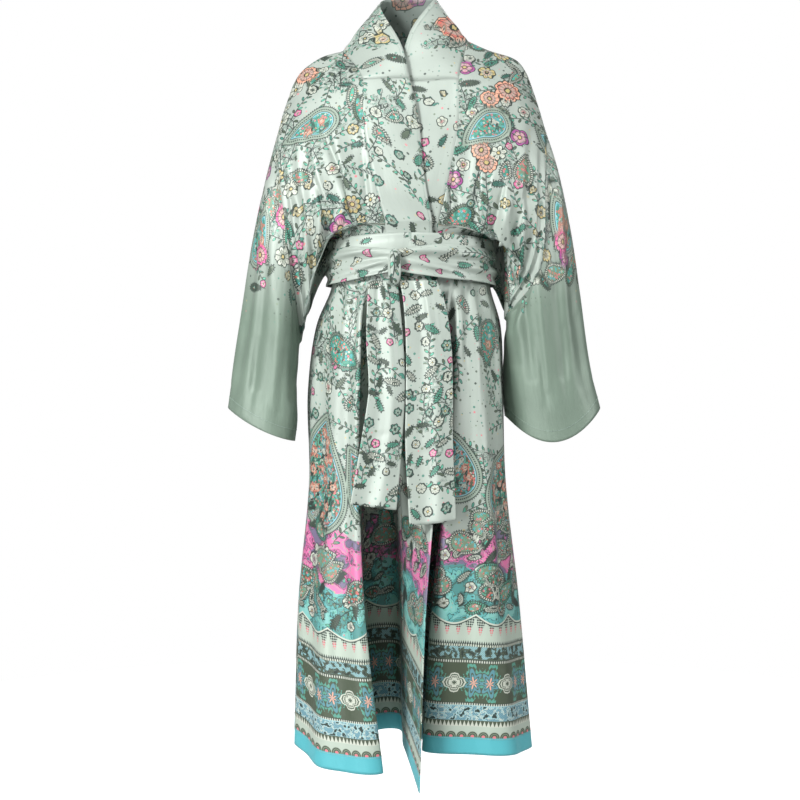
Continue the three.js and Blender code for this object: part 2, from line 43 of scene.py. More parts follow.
def bend(points, at):
    """Places on a smooth line through points, with 0 to 1 running evenly over them. The points may be whole rows."""
    points = np.asarray(points, float)
    p = np.concatenate([[2 * points[0] - points[1]], points, [2 * points[-1] - points[-2]]])
    way = np.asarray(at, float) * (len(points) - 1)
    k = np.minimum(way.astype(int), len(points) - 2)
    w = (way - k).reshape((-1,) + (1,) * (points.ndim - 1))
    a, b, c, d = (p[k + n] for n in range(4))
    ab, bc, cd = (
        np.maximum(np.linalg.norm(n - m, axis=-1, keepdims=True), 1e-6) ** 0.5
        for m, n in ((a, b), (b, c), (c, d))
    )
    leave = ((b - a) / ab - (c - a) / (ab + bc) + (c - b) / bc) * bc
    arrive = ((c - b) / bc - (d - b) / (bc + cd) + (d - c) / cd) * bc
    return b + leave * w + (3 * (c - b) - 2 * leave - arrive) * w**2 + (2 * (b - c) + leave + arrive) * w**3


def bend_by_length(points, at):
    fine = np.linspace(0, 1, 1201)
    run = steps_run(bend(points, fine))
    return bend(points, np.interp(np.asarray(at) * run[-1], run, fine))


def steps_run(line):
    """How far along it each point of a line is."""
    return np.concatenate([[0], np.cumsum(np.linalg.norm(np.diff(line, axis=0), axis=-1))])


def stations(steps):
    """Places 0 to 1 over equally long spans that have these steps each."""
    ends = np.arange(len(steps))
    return np.concatenate([[0], *[(e + np.arange(1, n + 1) / n) / len(steps) for e, n in zip(ends, steps)]])


ROWS = [14, 16, 24, 24, 16, 4, 16, 16, 24, 32, 44, 52]  # from the shoulder to the hem, section by section
GATHER_ROWS = [4, 3, 3, 3, 2, 1, 2, 2, 3, 3, 3, 3]
FOLD = 4  # the section where the body folds over the belt
COLUMNS = [16, 14, 12, 12, 14, 18, 10, 14]  # from the side to the band's seam
GATHER_COLUMNS = [3, 2, 2, 2, 1, 2, 1, 2]
BAND_COLUMNS = [16]
RIDGE = sum(COLUMNS[:4])  # the column on the fold's outer edge
panel_at, band_at = stations(COLUMNS), stations(BAND_COLUMNS)
fold_at = sum(ROWS[:FOLD])


def lengthwise(rows, steps, fold):
    """A cloth's points, row after row down its length, from its sections. It turns sharply at the fold."""
    rows = np.asarray(rows)
    above = bend(rows[: fold + 1], stations(steps[:fold]))
    below = bend(rows[fold:], stations(steps[fold:]))
    return np.concatenate([above, below[1:]])


def facing(grid, outward, closed=False):
    """Unit normals of a cloth's points."""
    across = np.roll(grid, -1, 1) - np.roll(grid, 1, 1)
    if not closed:
        across[:, 0], across[:, -1] = grid[:, 1] - grid[:, 0], grid[:, -1] - grid[:, -2]
    down = np.gradient(grid, axis=0)
    normal = np.cross(across, down) * outward
    return normal / np.maximum(np.linalg.norm(normal, axis=-1, keepdims=True), 1e-9)


def gathered(grid, outward, across, count, phase, depths):
    """Soft folds that run down a panel, pressed in from its face and let out at its edges."""
    depth = np.interp(stations(ROWS), np.linspace(0, 1, len(depths)), depths)
    hold = np.minimum(1, np.minimum(across, 1 - across) * 6)
    wave = 0.5 - 0.5 * np.cos(2 * np.pi * (count * across + phase * np.sin(3 * across)))
    return grid - facing(grid, outward) * (depth[:, None] * wave * hold)[..., None]


def from_ends(count):
    """How many steps each of a row of points is from the nearer end."""
    return np.minimum(np.arange(count), np.arange(count)[::-1])


def creased(grid, outward, s, t, creases, closed=False):
    """Creases given one by one: each from (s, t) to (s, t) on the cloth, its half width and its depth, in mm."""
    push = np.zeros(s.shape)
    for s0, t0, s1, t1, width, depth in creases:
        way = np.array([s1 - s0, t1 - t0], float)
        reach = way @ way
        along = ((s - s0) * way[0] + (t - t0) * way[1]) / reach
        off = np.abs((s - s0) * way[1] - (t - t0) * way[0]) / reach**0.5
        off = off + 1.6 * np.maximum(0, np.abs(along - 0.5) - 0.5) * reach**0.5
        taper = np.clip(1.15 - np.abs(2 * along - 1), 0, 1) ** 0.7
        push += depth * np.exp(-((off / width) ** 2)) * taper
    edge = from_ends(s.shape[0])[:, None] / 3
    if not closed:
        edge = np.minimum(edge, from_ends(s.shape[1]) / 4)
    return grid - facing(grid, outward, closed) * (push * np.clip(edge, 0, 1))[..., None]


def laid_out(grid, middle):
    """Each point's place on the flat cloth in mm: s across it from a middle column, t up from its lower edge."""
    across = np.stack([steps_run(row) for row in grid])
    down = np.stack([steps_run(column) for column in grid.swapaxes(0, 1)], 1)
    return across - across[:, middle : middle + 1], down[-1:] - down


# Shoulder seam and sections of the front, from the side to the seam of the band and then over the band.
SHOULDER_RIGHT = [[-233, -5, -96], [-222, -4, -64], [-213, -3, -40], [-198, 0, -16], [-162, 0, 9], [-124, 0, 20]]
RIGHT_TOP = [
    ([[-238, -36, -140], [-203, -55, -105], [-165, -66, -75], [-125, -74, -58], [-86, -80, -48]],
     [[-45, -85, -48], [-3, -86, -48]]),
    ([[-234, -68, -215], [-198, -95, -195], [-160, -107, -172], [-120, -109, -150], [-84, -107, -130]],
     [[-36, -109, -122], [11, -107, -113]]),
    ([[-218, -80, -343], [-188, -104, -312], [-150, -117, -284], [-105, -122, -262], [-62, -122, -246]],
     [[-18, -124, -242], [24, -121, -236]]),
    ([[-197, -30, -509], [-178, -66, -428], [-154, -92, -344], [-118, -109, -313], [-80, -114, -308],
      [-45, -119, -306]], [[-5, -123, -305], [36, -122, -304]]),
    ([[-164, -8, -319], [-149, -60, -318], [-124, -88, -316], [-88, -106, -313], [-46, -116, -312]],
     [[-5, -121, -311], [36, -119, -311]]),
    ([[-145, -8, -326], [-132, -54, -325], [-114, -77, -324], [-84, -98, -323], [-46, -112, -323]],
     [[-5, -118, -322], [36, -117, -322]]),
]
# Skirt sections: side, flank, face, crest, ridge, turn, recess, valley, seam, band, edge.
RIGHT_SKIRT = [
    (-405, [[-143, -10], [-130, -56], [-112, -77], [-98, -88], [-84, -97], [-76, -101], [-67, -105],
            [-58, -108], [-48, -111], [-6, -117], [36, -115]]),
    (-480, [[-172, -4], [-154, -62], [-124, -98], [-101, -116], [-85, -126], [-76, -112], [-69, -101],
            [-58, -101], [-48, -114], [-6, -130], [37, -126]]),
    (-600, [[-188, 2], [-174, -66], [-140, -112], [-108, -132], [-86, -139], [-80, -112], [-72, -86],
            [-53, -82], [-41, -104], [-2, -131], [38, -133]]),
    (-760, [[-186, 8], [-177, -72], [-142, -122], [-110, -144], [-87, -149], [-86, -104], [-80, -44],
            [-40, -34], [-22, -70], [6, -108], [40, -141]]),
    (-980, [[-206, 16], [-196, -74], [-154, -132], [-112, -157], [-76, -161], [-84, -96], [-82, -10],
            [-34, 0], [-15, -66], [3, -122], [23, -176]]),
    (-1222, [[-214, 22, 6], [-205, -66, -8], [-165, -128, -26], [-110, -163, -31], [-44, -165, -29],
             [-62, -96, -16], [-70, -4, 2], [-28, 10, 4], [-13, -66, -10], [0, -132, -32], [12, -200, -54]]),
]


def skirt_points(row):
    z, at = row
    return [[p[0], p[1], z + (p[2] if len(p) > 2 else 0)] for p in at]


def front_sections(shoulder, top, skirt):
    """The rows of a front panel and of the band beside it."""
    panel, band = [bend_by_length(shoulder, panel_at)], []
    for points, beside in top:
        line = points + beside
        fine = np.linspace(0, 1, 2001)
        share = fine[np.argmin(np.linalg.norm(bend_by_length(line, fine) - points[-1], axis=1))]
        panel.append(bend_by_length(line, panel_at * share))
        band.append(bend_by_length(line, share + band_at * (1 - share)))
    for row in skirt:
        share = len(COLUMNS) / (len(COLUMNS) + 2)
        panel.append(bend(skirt_points(row), panel_at * share))
        band.append(bend(skirt_points(row), share + band_at * (1 - share)))
    return panel, band


# The print: ordinary flowers, leaves, tendrils and paisleys, drawn as outlines on the flat cloth.
def dyed(red, green, blue):
    return tuple(((c / 255 + 0.055) / 1.055) ** 2.4 if c > 10 else c / 3295 for c in (red, green, blue))


SAGE, CREAM, INK, TEAL = dyed(170, 181, 172), dyed(204, 210, 196), dyed(46, 60, 54), dyed(70, 134, 118)
MINT, AQUA, SKY, OLIVE = dyed(96, 176, 150), dyed(92, 188, 196), dyed(136, 190, 200), dyed(82, 96, 80)
MOSS, PINK, ROSE, VIOLET = dyed(120, 136, 114), dyed(226, 100, 158), dyed(228, 124, 134), dyed(168, 82, 150)
CORAL, PEACH, GOLD = dyed(222, 120, 106), dyed(234, 172, 146), dyed(202, 184, 126)


def bloom(petals, notch):
    """A flower's outline, one unit across its radius."""
    turn = np.linspace(0, 2 * np.pi, petals * 10, endpoint=False)
    radius = 1 - notch + notch * np.abs(np.cos(petals * turn / 2)) ** 0.6
    return np.stack([radius * np.cos(turn), radius * np.sin(turn)], 1)


def drop(curl):
    """A paisley's outline, one unit from its middle to its tip, which leans over."""
    turn = np.linspace(0, 2 * np.pi, 80, endpoint=False)
    x = 0.8 * np.sin(turn) * np.abs(np.sin(turn / 2)) ** 1.1
    y = np.cos(turn)
    lean = ((y + 1) / 2) ** 2.4
    return np.stack([x + curl * lean, y - 0.35 * abs(curl) * lean**3], 1)


def leaf():
    turn = np.linspace(0, 2 * np.pi, 30, endpoint=False)
    return np.stack([0.4 * np.sin(turn) * np.abs(np.sin(turn / 2)) ** 0.5, np.cos(turn)], 1)


DOT_STEP = 4.2  # from dot to dot in a paisley's ring, mm
WIDE_RING = 50  # the size from which a paisley has a wide ring, mm
CLEAR = 19  # what is set inside a big paisley keeps this far from its outline, mm
LINE = 0.9  # a figure's dark line, on each side of its outline, mm
FAR = 99.0  # from a figure or tendril, where there is none, mm
AROUND, BESIDE = 8, 16  # how far round a figure and beside a tendril the print is worked out, mm
APART = 37  # from one tendril's count of length to the next, so that their leaves don't match, mm
OUTLINES = {
    "daisy": bloom(8, 0.34), "rose": bloom(5, 0.24), "star": bloom(6, 0.5), "peony": bloom(11, 0.2),
    "paisley": drop(0.62), "paisley_left": drop(-0.62), "heart": drop(0.25), "leaf": leaf(),
}
PAISLEYS = ("paisley", "paisley_left", "heart", "leaf")


def is_within(line, x, y):
    """Whether points lie inside a closed outline."""
    after, x, y = np.roll(line, -1, 0), np.asarray(x)[..., None], np.asarray(y)[..., None]
    between = (line[:, 1] > y) != (after[:, 1] > y)
    rise = np.where(after[:, 1] == line[:, 1], 1e-9, after[:, 1] - line[:, 1])
    return (between & (x < line[:, 0] + (y - line[:, 1]) / rise * (after[:, 0] - line[:, 0]))).sum(-1) % 2 == 1


def nearest(start, way, x, y):
    """For each point: how far off a line of stretches it is, how far along it, and on which side."""
    reach = (way**2).sum(1)
    dx, dy = x[:, None] - start[:, 0], y[:, None] - start[:, 1]
    share = np.clip((dx * way[:, 0] + dy * way[:, 1]) / reach, 0, 1)
    off = np.hypot(dx - share * way[:, 0], dy - share * way[:, 1])
    best, rows = off.argmin(1), np.arange(len(x))
    along = np.append(0, np.cumsum(reach**0.5))[best] + share[rows, best] * reach[best] ** 0.5
    return off[rows, best], along, np.sign(dx[rows, best] * way[best, 1] - dy[rows, best] * way[best, 0])


def printed(s, t, motifs, tendrils):
    """What the print needs at each point of a cloth. motif: distance to the nearest outline in mm, its repeats
    along it and how far from a flower's middle; fill and ring: its colours; tendril: distance along it, off it to
    one side or the other, and off it in all."""
    s, t = s.ravel(), t.ravel()
    near = np.full(len(s), FAR)
    motif = np.stack([near, near * 0, near * 0 + 2], 1)
    fill, ring = np.ones((len(s), 4)), np.ones((len(s), 4))
    for kind, at_s, at_t, size, turn, inner, outer in motifs:
        reach = size * 1.3 + AROUND
        close = np.nonzero((np.abs(s - at_s) < reach) & (np.abs(t - at_t) < reach))[0]
        if not len(close):
            continue
        c, d = np.cos(np.radians(turn)), np.sin(np.radians(turn))
        x, y = s[close] - at_s, t[close] - at_t
        x, y = x * c + y * d, y * c - x * d
        line = OUTLINES[kind] * size
        gap, along, _ = nearest(line, np.roll(line, -1, 0) - line, x, y)
        gap *= np.where(is_within(line, x, y), -1, 1)
        if kind in PAISLEYS:
            repeat = along / DOT_STEP
            core = np.full(len(close), 3.0 if size > WIDE_RING else 2.0)
        else:
            petals = len(line) // 10
            repeat = (np.arctan2(y, x) / (2 * np.pi) + 0.5) * petals + (0 if petals % 2 else 0.5)
            core = np.hypot(x, y) / size
        won = (gap < motif[close, 0]) | (gap < LINE)
        chosen = close[won]
        motif[chosen] = np.stack([gap, repeat, core], 1)[won]
        fill[chosen, :3], ring[chosen, :3] = inner, outer
    tendril = np.stack([near * 0, near, near], 1)
    for number, points in enumerate(tendrils):
        line = bend_by_length([[p[0], p[1], 0] for p in points], np.linspace(0, 1, 40))[:, :2]
        low, high = line.min(0) - BESIDE, line.max(0) + BESIDE
        close = np.nonzero((s > low[0]) & (s < high[0]) & (t > low[1]) & (t < high[1]))[0]
        gap, along, side = nearest(line[:-1], np.diff(line, axis=0), s[close], t[close])
        won = gap < tendril[close, 2]
        tendril[close[won]] = np.stack([along + APART * number, gap * side, gap], 1)[won]
    return {"motif": motif, "fill": fill, "ring": ring, "tendril": tendril}


def scattered(seed, s_from, s_to, t_from, t_to, spacing, kinds, bare=-3.0):
    """Motifs strewn over a stretch of cloth in clumps: a loose lattice, each with its own turn, size and colours."""
    pick = np.random.default_rng(seed)
    found = []
    for row, t in enumerate(np.arange(t_from, t_to, spacing)):
        for s in np.arange(s_from + spacing * 0.5 * (row % 2), s_to, spacing):
            kind, size, inner, outer = kinds[pick.integers(len(kinds))]
            ds, dt, grow, turn = pick.random(4)
            clump = np.sin(s / 34 + seed) + np.sin(t / 47 + 2 * seed) + np.sin((s - t) / 61)
            if grow < 0.1 or clump < bare:
                continue
            found.append((kind, s + (ds - 0.5) * spacing * 0.6, t + (dt - 0.5) * spacing * 0.6,
                          size * (0.75 + 0.5 * grow), turn * 360, inner, outer))
    return found


def wandering(seed, s_from, s_to, t_from, t_to, count, reach):
    """Tendrils that climb and curl over a stretch of cloth."""
    pick = np.random.default_rng(seed)
    found = []
    for _ in range(count):
        s, t = s_from + pick.random() * (s_to - s_from), t_from + pick.random() * (t_to - t_from)
        heading, curl = 90 + (pick.random() - 0.5) * 140, (pick.random() - 0.5) * 90
        points = [(s, t)]
        for _ in range(4):
            heading += curl + (pick.random() - 0.5) * 30
            s, t = s + reach / 4 * np.cos(np.radians(heading)), t + reach / 4 * np.sin(np.radians(heading))
            points.append((s, t))
        found.append(points)
    return found


SMALL = [
    ("rose", 10, ROSE, CREAM), ("daisy", 9, CREAM, TEAL), ("leaf", 13, MINT, TEAL), ("leaf", 12, MOSS, OLIVE),
    ("star", 9, PEACH, GOLD), ("paisley", 15, TEAL, CREAM), ("leaf", 15, TEAL, MINT), ("rose", 8, VIOLET, PINK),
    ("leaf", 11, OLIVE, MOSS), ("daisy", 11, MINT, CREAM),
]
BLOOMS = [
    ("peony", 21, CORAL, PEACH), ("daisy", 17, MOSS, CREAM), ("rose", 17, PINK, VIOLET), ("star", 17, TEAL, CREAM),
    ("paisley", 28, TEAL, MOSS), ("paisley_left", 30, MOSS, CREAM), ("leaf", 22, MINT, CREAM),
    ("daisy", 14, PEACH, GOLD), ("leaf", 19, TEAL, OLIVE), ("star", 13, CREAM, OLIVE),
]
LOW = [
    ("heart", 20, OLIVE, CREAM), ("paisley", 25, MOSS, CREAM), ("daisy", 12, ROSE, CREAM), ("leaf", 18, TEAL, CREAM),
    ("paisley_left", 24, MOSS, MINT), ("rose", 11, VIOLET, CREAM), ("leaf", 15, CREAM, OLIVE),
    ("leaf", 14, MOSS, CREAM), ("leaf", 16, MINT, INK),
]


def filled(kind, at_s, at_t, size, turn, inner, outer, seed):
    """A big paisley with small leaves and flowers set inside its ring."""
    pick = np.random.default_rng(seed)
    c, d = np.cos(np.radians(turn)), np.sin(np.radians(turn))
    line = OUTLINES[kind]
    found = [(kind, at_s, at_t, size, turn, inner, outer)]
    step = 15 / size
    for row, v in enumerate(np.arange(-1, 1, step)):
        for u in np.arange(-1 + step * 0.5 * (row % 2), 1, step):
            far = np.hypot(line[:, 0] - u, line[:, 1] - v)
            if is_within(line, u, v) and far.min() * size > CLEAR:
                small, grow, lean = pick.random(3)
                name, radius, *tints = (
                    ("rose", 7.5, CORAL, PEACH) if small < 0.26 else
                    ("leaf", 10, MINT, TEAL) if small < 0.8 else ("daisy", 7, AQUA, CREAM))
                found.append((name, at_s + size * (u * c - v * d), at_t + size * (u * d + v * c),
                              radius * (0.85 + 0.35 * grow), turn + (lean - 0.5) * 150, *tints))
    return found


RING = dyed(148, 164, 150)  # the big paisleys' ring


def front_print(seed, reach, s, t):
    """The print of a front or back: flowers above, big paisleys over the hem's border."""
    s_from, s_to = -reach, reach
    motifs = scattered(seed + 1, s_from, s_to, 600, 960, 31, SMALL, -0.4)
    motifs += scattered(seed + 2, s_from, s_to, 930, 1420, 33, BLOOMS + SMALL, -0.8)
    pick = np.random.default_rng(seed + 3)
    hearts = []
    for n, place in enumerate(np.arange(s_from + 55, s_to, 132)):
        lift, turn = pick.random(2)
        kind, other = ("paisley", "paisley_left") if n % 2 else ("paisley_left", "paisley")
        big = 112 if n % 2 else 78
        motifs += filled(kind, place, 470 + lift * 50, big, (turn - 0.5) * 50, OLIVE, RING, seed + 7 + n)
        motifs += filled(other, place + 66, 660 + lift * 70, 46, 150 + turn * 80, TEAL, RING, seed + 97 + n)
        motifs += filled(kind, place + 20, 1060 + lift * 60, 56, 60 + turn * 80, TEAL, RING, seed + 197 + n)
        hearts += [("heart", place + 30, 340 + lift * 30, 33, 200 + turn * 120, MOSS, CREAM),
                   ("heart", place + 92, 285 + lift * 24, 30, 40 + turn * 120, OLIVE, CREAM)]
    motifs += scattered(seed, s_from, s_to, 258, 430, 27, LOW, -1.2) + hearts
    tendrils = wandering(seed + 4, s_from, s_to, 250, 1400, int((s_to - s_from) / 6), 150)
    tendrils += wandering(seed + 5, s_from, s_to, 450, 1300, int((s_to - s_from) / 20), 330)
    return printed(s, t, motifs, tendrils)


PRINT_FOOT = 1235  # how far below the origin the upright print's height starts, mm
PRINT_SLOPE, CHEST = 0.43, 112  # it runs on over the shoulders, from the depth of the chest, mm
PRINT_MIDDLE = 84  # the line up each front from which its print is laid out, mm from the body's middle


def upright(grid, s, t, middle):
    """Over the belt a panel's print is laid upright, by its place across the body and its height."""
    top = grid[: fold_at + 1]
    s[: fold_at + 1] = top[..., 0] - middle
    t[: fold_at + 1] = top[..., 2] + PRINT_FOOT - PRINT_SLOPE * (np.abs(top[..., 1]) - CHEST)
    return s, t


class Value:
    """A number or colour that changes over the cloth: one socket of a tree of nodes, with sums made as nodes."""

    def __init__(self, nodes, socket):
        self.nodes, self.socket = nodes, socket

    def sum(self, operation, *others, clamp=False):
        return self.nodes.node("ShaderNodeMath", {"operation": operation, "use_clamp": clamp},
                               dict(enumerate([self, *others])))

    def __add__(self, other): return self.sum("ADD", other)
    def __radd__(self, other): return self.sum("ADD", other)
    def __sub__(self, other): return self.sum("SUBTRACT", other)
    def __rsub__(self, other): return self.nodes.node("ShaderNodeMath", {"operation": "SUBTRACT"}, {0: other, 1: self})
    def __mul__(self, other): return self.sum("MULTIPLY", other)
    def __rmul__(self, other): return self.sum("MULTIPLY", other)
    def __truediv__(self, other): return self.sum("DIVIDE", other)
    def __abs__(self): return self.sum("ABSOLUTE")

    def under(self, limit, soft=0.6):
        """1 where this is under the limit, 0 over it, in mm."""
        if isinstance(limit, Value):
            return (limit - self).over(0, soft)
        return self.sum("MULTIPLY_ADD", -1 / soft, limit / soft + 0.5, clamp=True)

    def over(self, limit, soft=0.6):
        return self.sum("MULTIPLY_ADD", 1 / soft, 0.5 - limit / soft, clamp=True)

    def within(self, low, high, soft=0.6):
        return self.over(low, soft) * self.under(high, soft)

    def every(self, length):
        """Its place within a repeat, from minus to plus half a length."""
        return (self.sum("DIVIDE", length).sum("FRACT") - 0.5) * length


class Nodes:
    """A tree of nodes being built."""

    def __init__(self, tree):
        self.tree = tree
        tree.nodes.clear()

    def node(self, kind, settings, values, out=0):
        made = self.tree.nodes.new(kind)
        for name, setting in settings.items():
            setattr(made, name, setting)
        for name, value in values.items():
            socket = made.inputs[name]
            if isinstance(value, Value):
                self.tree.links.new(value.socket, socket)
            else:
                socket.default_value = value
        return Value(self, made.outputs[out]) if len(made.outputs) else None


class Dye(Nodes):
    """A finish being made up: its nodes, and the satin they end in."""

    def __init__(self, name):
        self.material = bpy.data.materials.new(name)
        self.material.use_nodes = True
        super().__init__(self.material.node_tree)

    def attribute(self, name, out="Vector"):
        return self.node("ShaderNodeAttribute", {"attribute_name": name}, {}, out)

    def parts(self, vector):
        split = self.node("ShaderNodeSeparateXYZ", {}, {0: vector})
        return [Value(self, socket) for socket in split.socket.node.outputs]

    def mixed(self, share, first, second):
        """The first colour, with the second over it where share is 1."""
        tint = lambda c: c if isinstance(c, Value) else (*c[:3], 1)
        return self.node("ShaderNodeMix", {"data_type": "RGBA"}, {0: share, 6: tint(first), 7: tint(second)}, 2)

    def layered(self, ground, *layers):
        """A ground with colours laid over it in turn: each layer is a share and its colour."""
        for share, tint in layers:
            ground = self.mixed(share, ground, tint)
        return ground

    def noise(self, place, scale, detail=3.0):
        return self.node("ShaderNodeTexNoise", {"noise_dimensions": "2D"},
                         {"Vector": place, "Scale": scale, "Detail": detail})

    def cells(self, place, scale):
        """How far each place is from the nearest of a scatter of points, and that point's own colour."""
        near = self.node("ShaderNodeTexVoronoi", {"voronoi_dimensions": "2D"}, {"Vector": place, "Scale": scale})
        return near, self.parts(Value(self, near.socket.node.outputs["Color"]))

    def stops(self, share, stops):
        """A colour for each stretch of share, from the place where it starts."""
        ramp = self.node("ShaderNodeValToRGB", {}, {0: share})
        band = ramp.socket.node.color_ramp
        band.interpolation = "CONSTANT"
        band.elements.remove(band.elements[1])
        band.elements[0].position, band.elements[0].color = stops[0][0], (*stops[0][1], 1)
        for place, colour in stops[1:]:
            band.elements.new(place).color = (*colour, 1)
        return ramp

    def satin(self, colour, height, roughness=0.5, sheen=0.12):
        bump = self.node("ShaderNodeBump", {}, {"Strength": 0.35, "Distance": 0.0006, "Height": height})
        cloth = self.node("ShaderNodeBsdfPrincipled", {}, {
            "Base Color": colour, "Roughness": roughness, "Metallic": 0.12, "Specular IOR Level": 0.6,
            "Sheen Weight": sheen, "Sheen Roughness": 0.45, "Normal": bump})
        return self.ended(cloth)

    def ended(self, surface):
        self.node("ShaderNodeOutputMaterial", {}, {"Surface": surface})
        return self.material


WARP = 1.1  # from one warp line to the next, mm


def satin_height(dye, s, t):
    """The satin's fine warp lines and the small crumples that handling leaves."""
    crumple = dye.noise(dye.node("ShaderNodeCombineXYZ", {}, {0: s, 1: t * 0.35, 2: 0.0}), 0.045)
    warp = (s * (2 * np.pi / WARP)).sum("SINE")
    return crumple * 5.0 + warp * 0.05


LEAF_STEP = 13  # along a tendril, from leaf to leaf on one side, mm
SWAG = 78  # width of one swag on the border's upper edge, mm
# Where each of the border's bands starts above the hem, mm.
SHELLS, SAW_TEETH, LOW_SPRAYS, LOW_TEETH, ROSETTES, HIGH_TEETH, HIGH_SPRAYS, TOP_TEETH, PENDANTS, SWAGS = (
    30, 49, 59, 85, 89, 159, 164, 189, 191, 241)
BORDER_TOP = 250
DEEP_OLIVE, MIST, PALE, TURQUOISE = dyed(74, 86, 68), dyed(150, 196, 202), dyed(184, 198, 184), dyed(88, 186, 196)
BORDER = [
    (0, TURQUOISE), (SHELLS, PALE), (SAW_TEETH, DEEP_OLIVE), (LOW_SPRAYS, MIST), (LOW_TEETH, INK),
    (ROSETTES, DEEP_OLIVE), (HIGH_TEETH, INK), (HIGH_SPRAYS, OLIVE), (TOP_TEETH, INK), (PENDANTS, PALE),
]


def swag_wave(s):
    return (s * (np.pi / SWAG)).sum("SINE")


def ground_colour(dye, place, s, t, bordered, base, bare_below):
    """Sage that drifts, under it a pink and a turquoise zone over the border, and small sprigs strewn on them."""
    drift = dye.noise(place, 0.011, 1.0)
    ground = dye.mixed(drift.over(0.5, 0.3), base, tuple(c * 1.12 for c in base))
    if bare_below:
        ground = dye.mixed(t.over(bare_below + 70, 160), ground, SAGE)
    if bordered:
        wave, patch = swag_wave(s), dye.noise(place, 0.03)
        pink = dye.layered(dyed(202, 104, 158), (patch.over(0.52, 0.03), dyed(222, 122, 170)),
                           (patch.under(0.46, 0.02), dyed(122, 112, 140)))
        water = dye.layered(dyed(98, 174, 172), (patch.over(0.53, 0.03), dyed(130, 192, 186)),
                            (patch.under(0.44, 0.02), dyed(84, 146, 142)))
        low = (t + wave * 26 + (drift - 0.5) * 110).under(400, 1.2)
        ground = dye.layered(ground, (low, pink), ((t - wave * 9 + (patch - 0.5) * 40).under(314, 1.2), water))
        for level, tint in ((0.5, INK), (0.42, OLIVE), (0.57, MINT)):  # twigs drawn over both
            ground = dye.mixed(abs(patch - level).under(0.008, 0.01) * low, ground, tint)
    near, hue = dye.cells(place, 0.075)
    sprig = (near + hue[0] * 0.16).under(0.18, 0.03) * drift.over(0.44, 0.06) * t.over(bare_below, 60)
    return dye.mixed(sprig * 0.85, ground, dye.stops(hue[1], [
        (0, TEAL), (0.25, INK), (0.45, ROSE), (0.55, MOSS), (0.75, OLIVE), (0.9, GOLD)]))


def with_tendrils(dye, ground):
    """A dark stem with leaves by turns on its two sides."""
    along, off, clear = dye.parts(dye.attribute("tendril"))
    out = abs(off)
    from_stem = out - 5
    lean = (along + off.over(0, 0.01) * (LEAF_STEP / 2)).every(LEAF_STEP) - from_stem * 0.55
    blade = (lean * lean) * (1 / 7.5) + from_stem * from_stem * (1 / 15)
    tint = dye.stops((along * (1 / (3 * LEAF_STEP))).sum("FRACT"),
                     [(0, TEAL), (0.3, OLIVE), (0.62, MINT), (0.85, MOSS)])
    close = clear.under(10.5, 0.5)
    return dye.layered(ground, (blade.under(1.2, 0.4) * close, INK), (blade.under(0.68, 0.4) * close, tint),
                       (out.under(0.75, 0.7) * close, INK))


def with_figures(dye, place, ground):
    """Flowers and paisleys: a dark outline, a ring with dots or petals, a filled middle."""
    gap, repeat, core = dye.parts(dye.attribute("motif"))
    fill, ring = dye.attribute("fill", "Color"), dye.attribute("ring", "Color")
    petals, big, laced = core.under(1.5, 0.2), core.over(2.5, 0.2), core.over(1.9, 0.2)
    deep, beside = gap * -1, repeat.every(1)
    width = big * 6 + 4.2
    off_dot, dot_side = deep - width * 0.55, beside * DOT_STEP
    dots = (dot_side * dot_side + off_dot * off_dot).under(1.9, 1)
    ringed = dye.mixed(dots * (1 - petals), ring, INK)
    near, speck = dye.cells(place, 0.2)
    posy = dye.stops(speck[0], [(0, MINT), (0.35, ROSE), (0.5, CREAM), (0.62, AQUA), (0.8, CORAL)])
    lace = dye.layered(fill, (near.under(0.36, 0.1) * laced, posy), (near.under(0.13, 0.05) * laced, INK),
                       (big * deep.under(width + 2.4, 0.8), SKY))
    rays = abs(repeat.every(0.25)).under(0.03, 0.03) * core.within(0.3, 0.72, 0.1) * petals
    veins = abs(beside).over(0.44, 0.06) * petals * core.over(0.22, 0.05)
    figure = dye.layered(
        lace, (deep.under(width, 0.8), ringed), (abs(deep - width).under(0.6, 0.5), INK),
        (core.within(0.3, 0.62, 0.2) * petals * 0.6, CREAM), (rays * 0.7, INK), (veins, INK),
        (core.under(0.26, 0.05), GOLD), (core.within(0.2, 0.3, 0.05), INK))
    fringe = gap.under(2.6, 0.6) * gap.over(0.8, 0.5) * abs(beside).under(0.22, 0.1) * (1 - petals)
    return dye.layered(ground, (gap.under(0, 0.7), figure), (abs(gap).under(0.75, 0.6), INK), (fringe, INK))


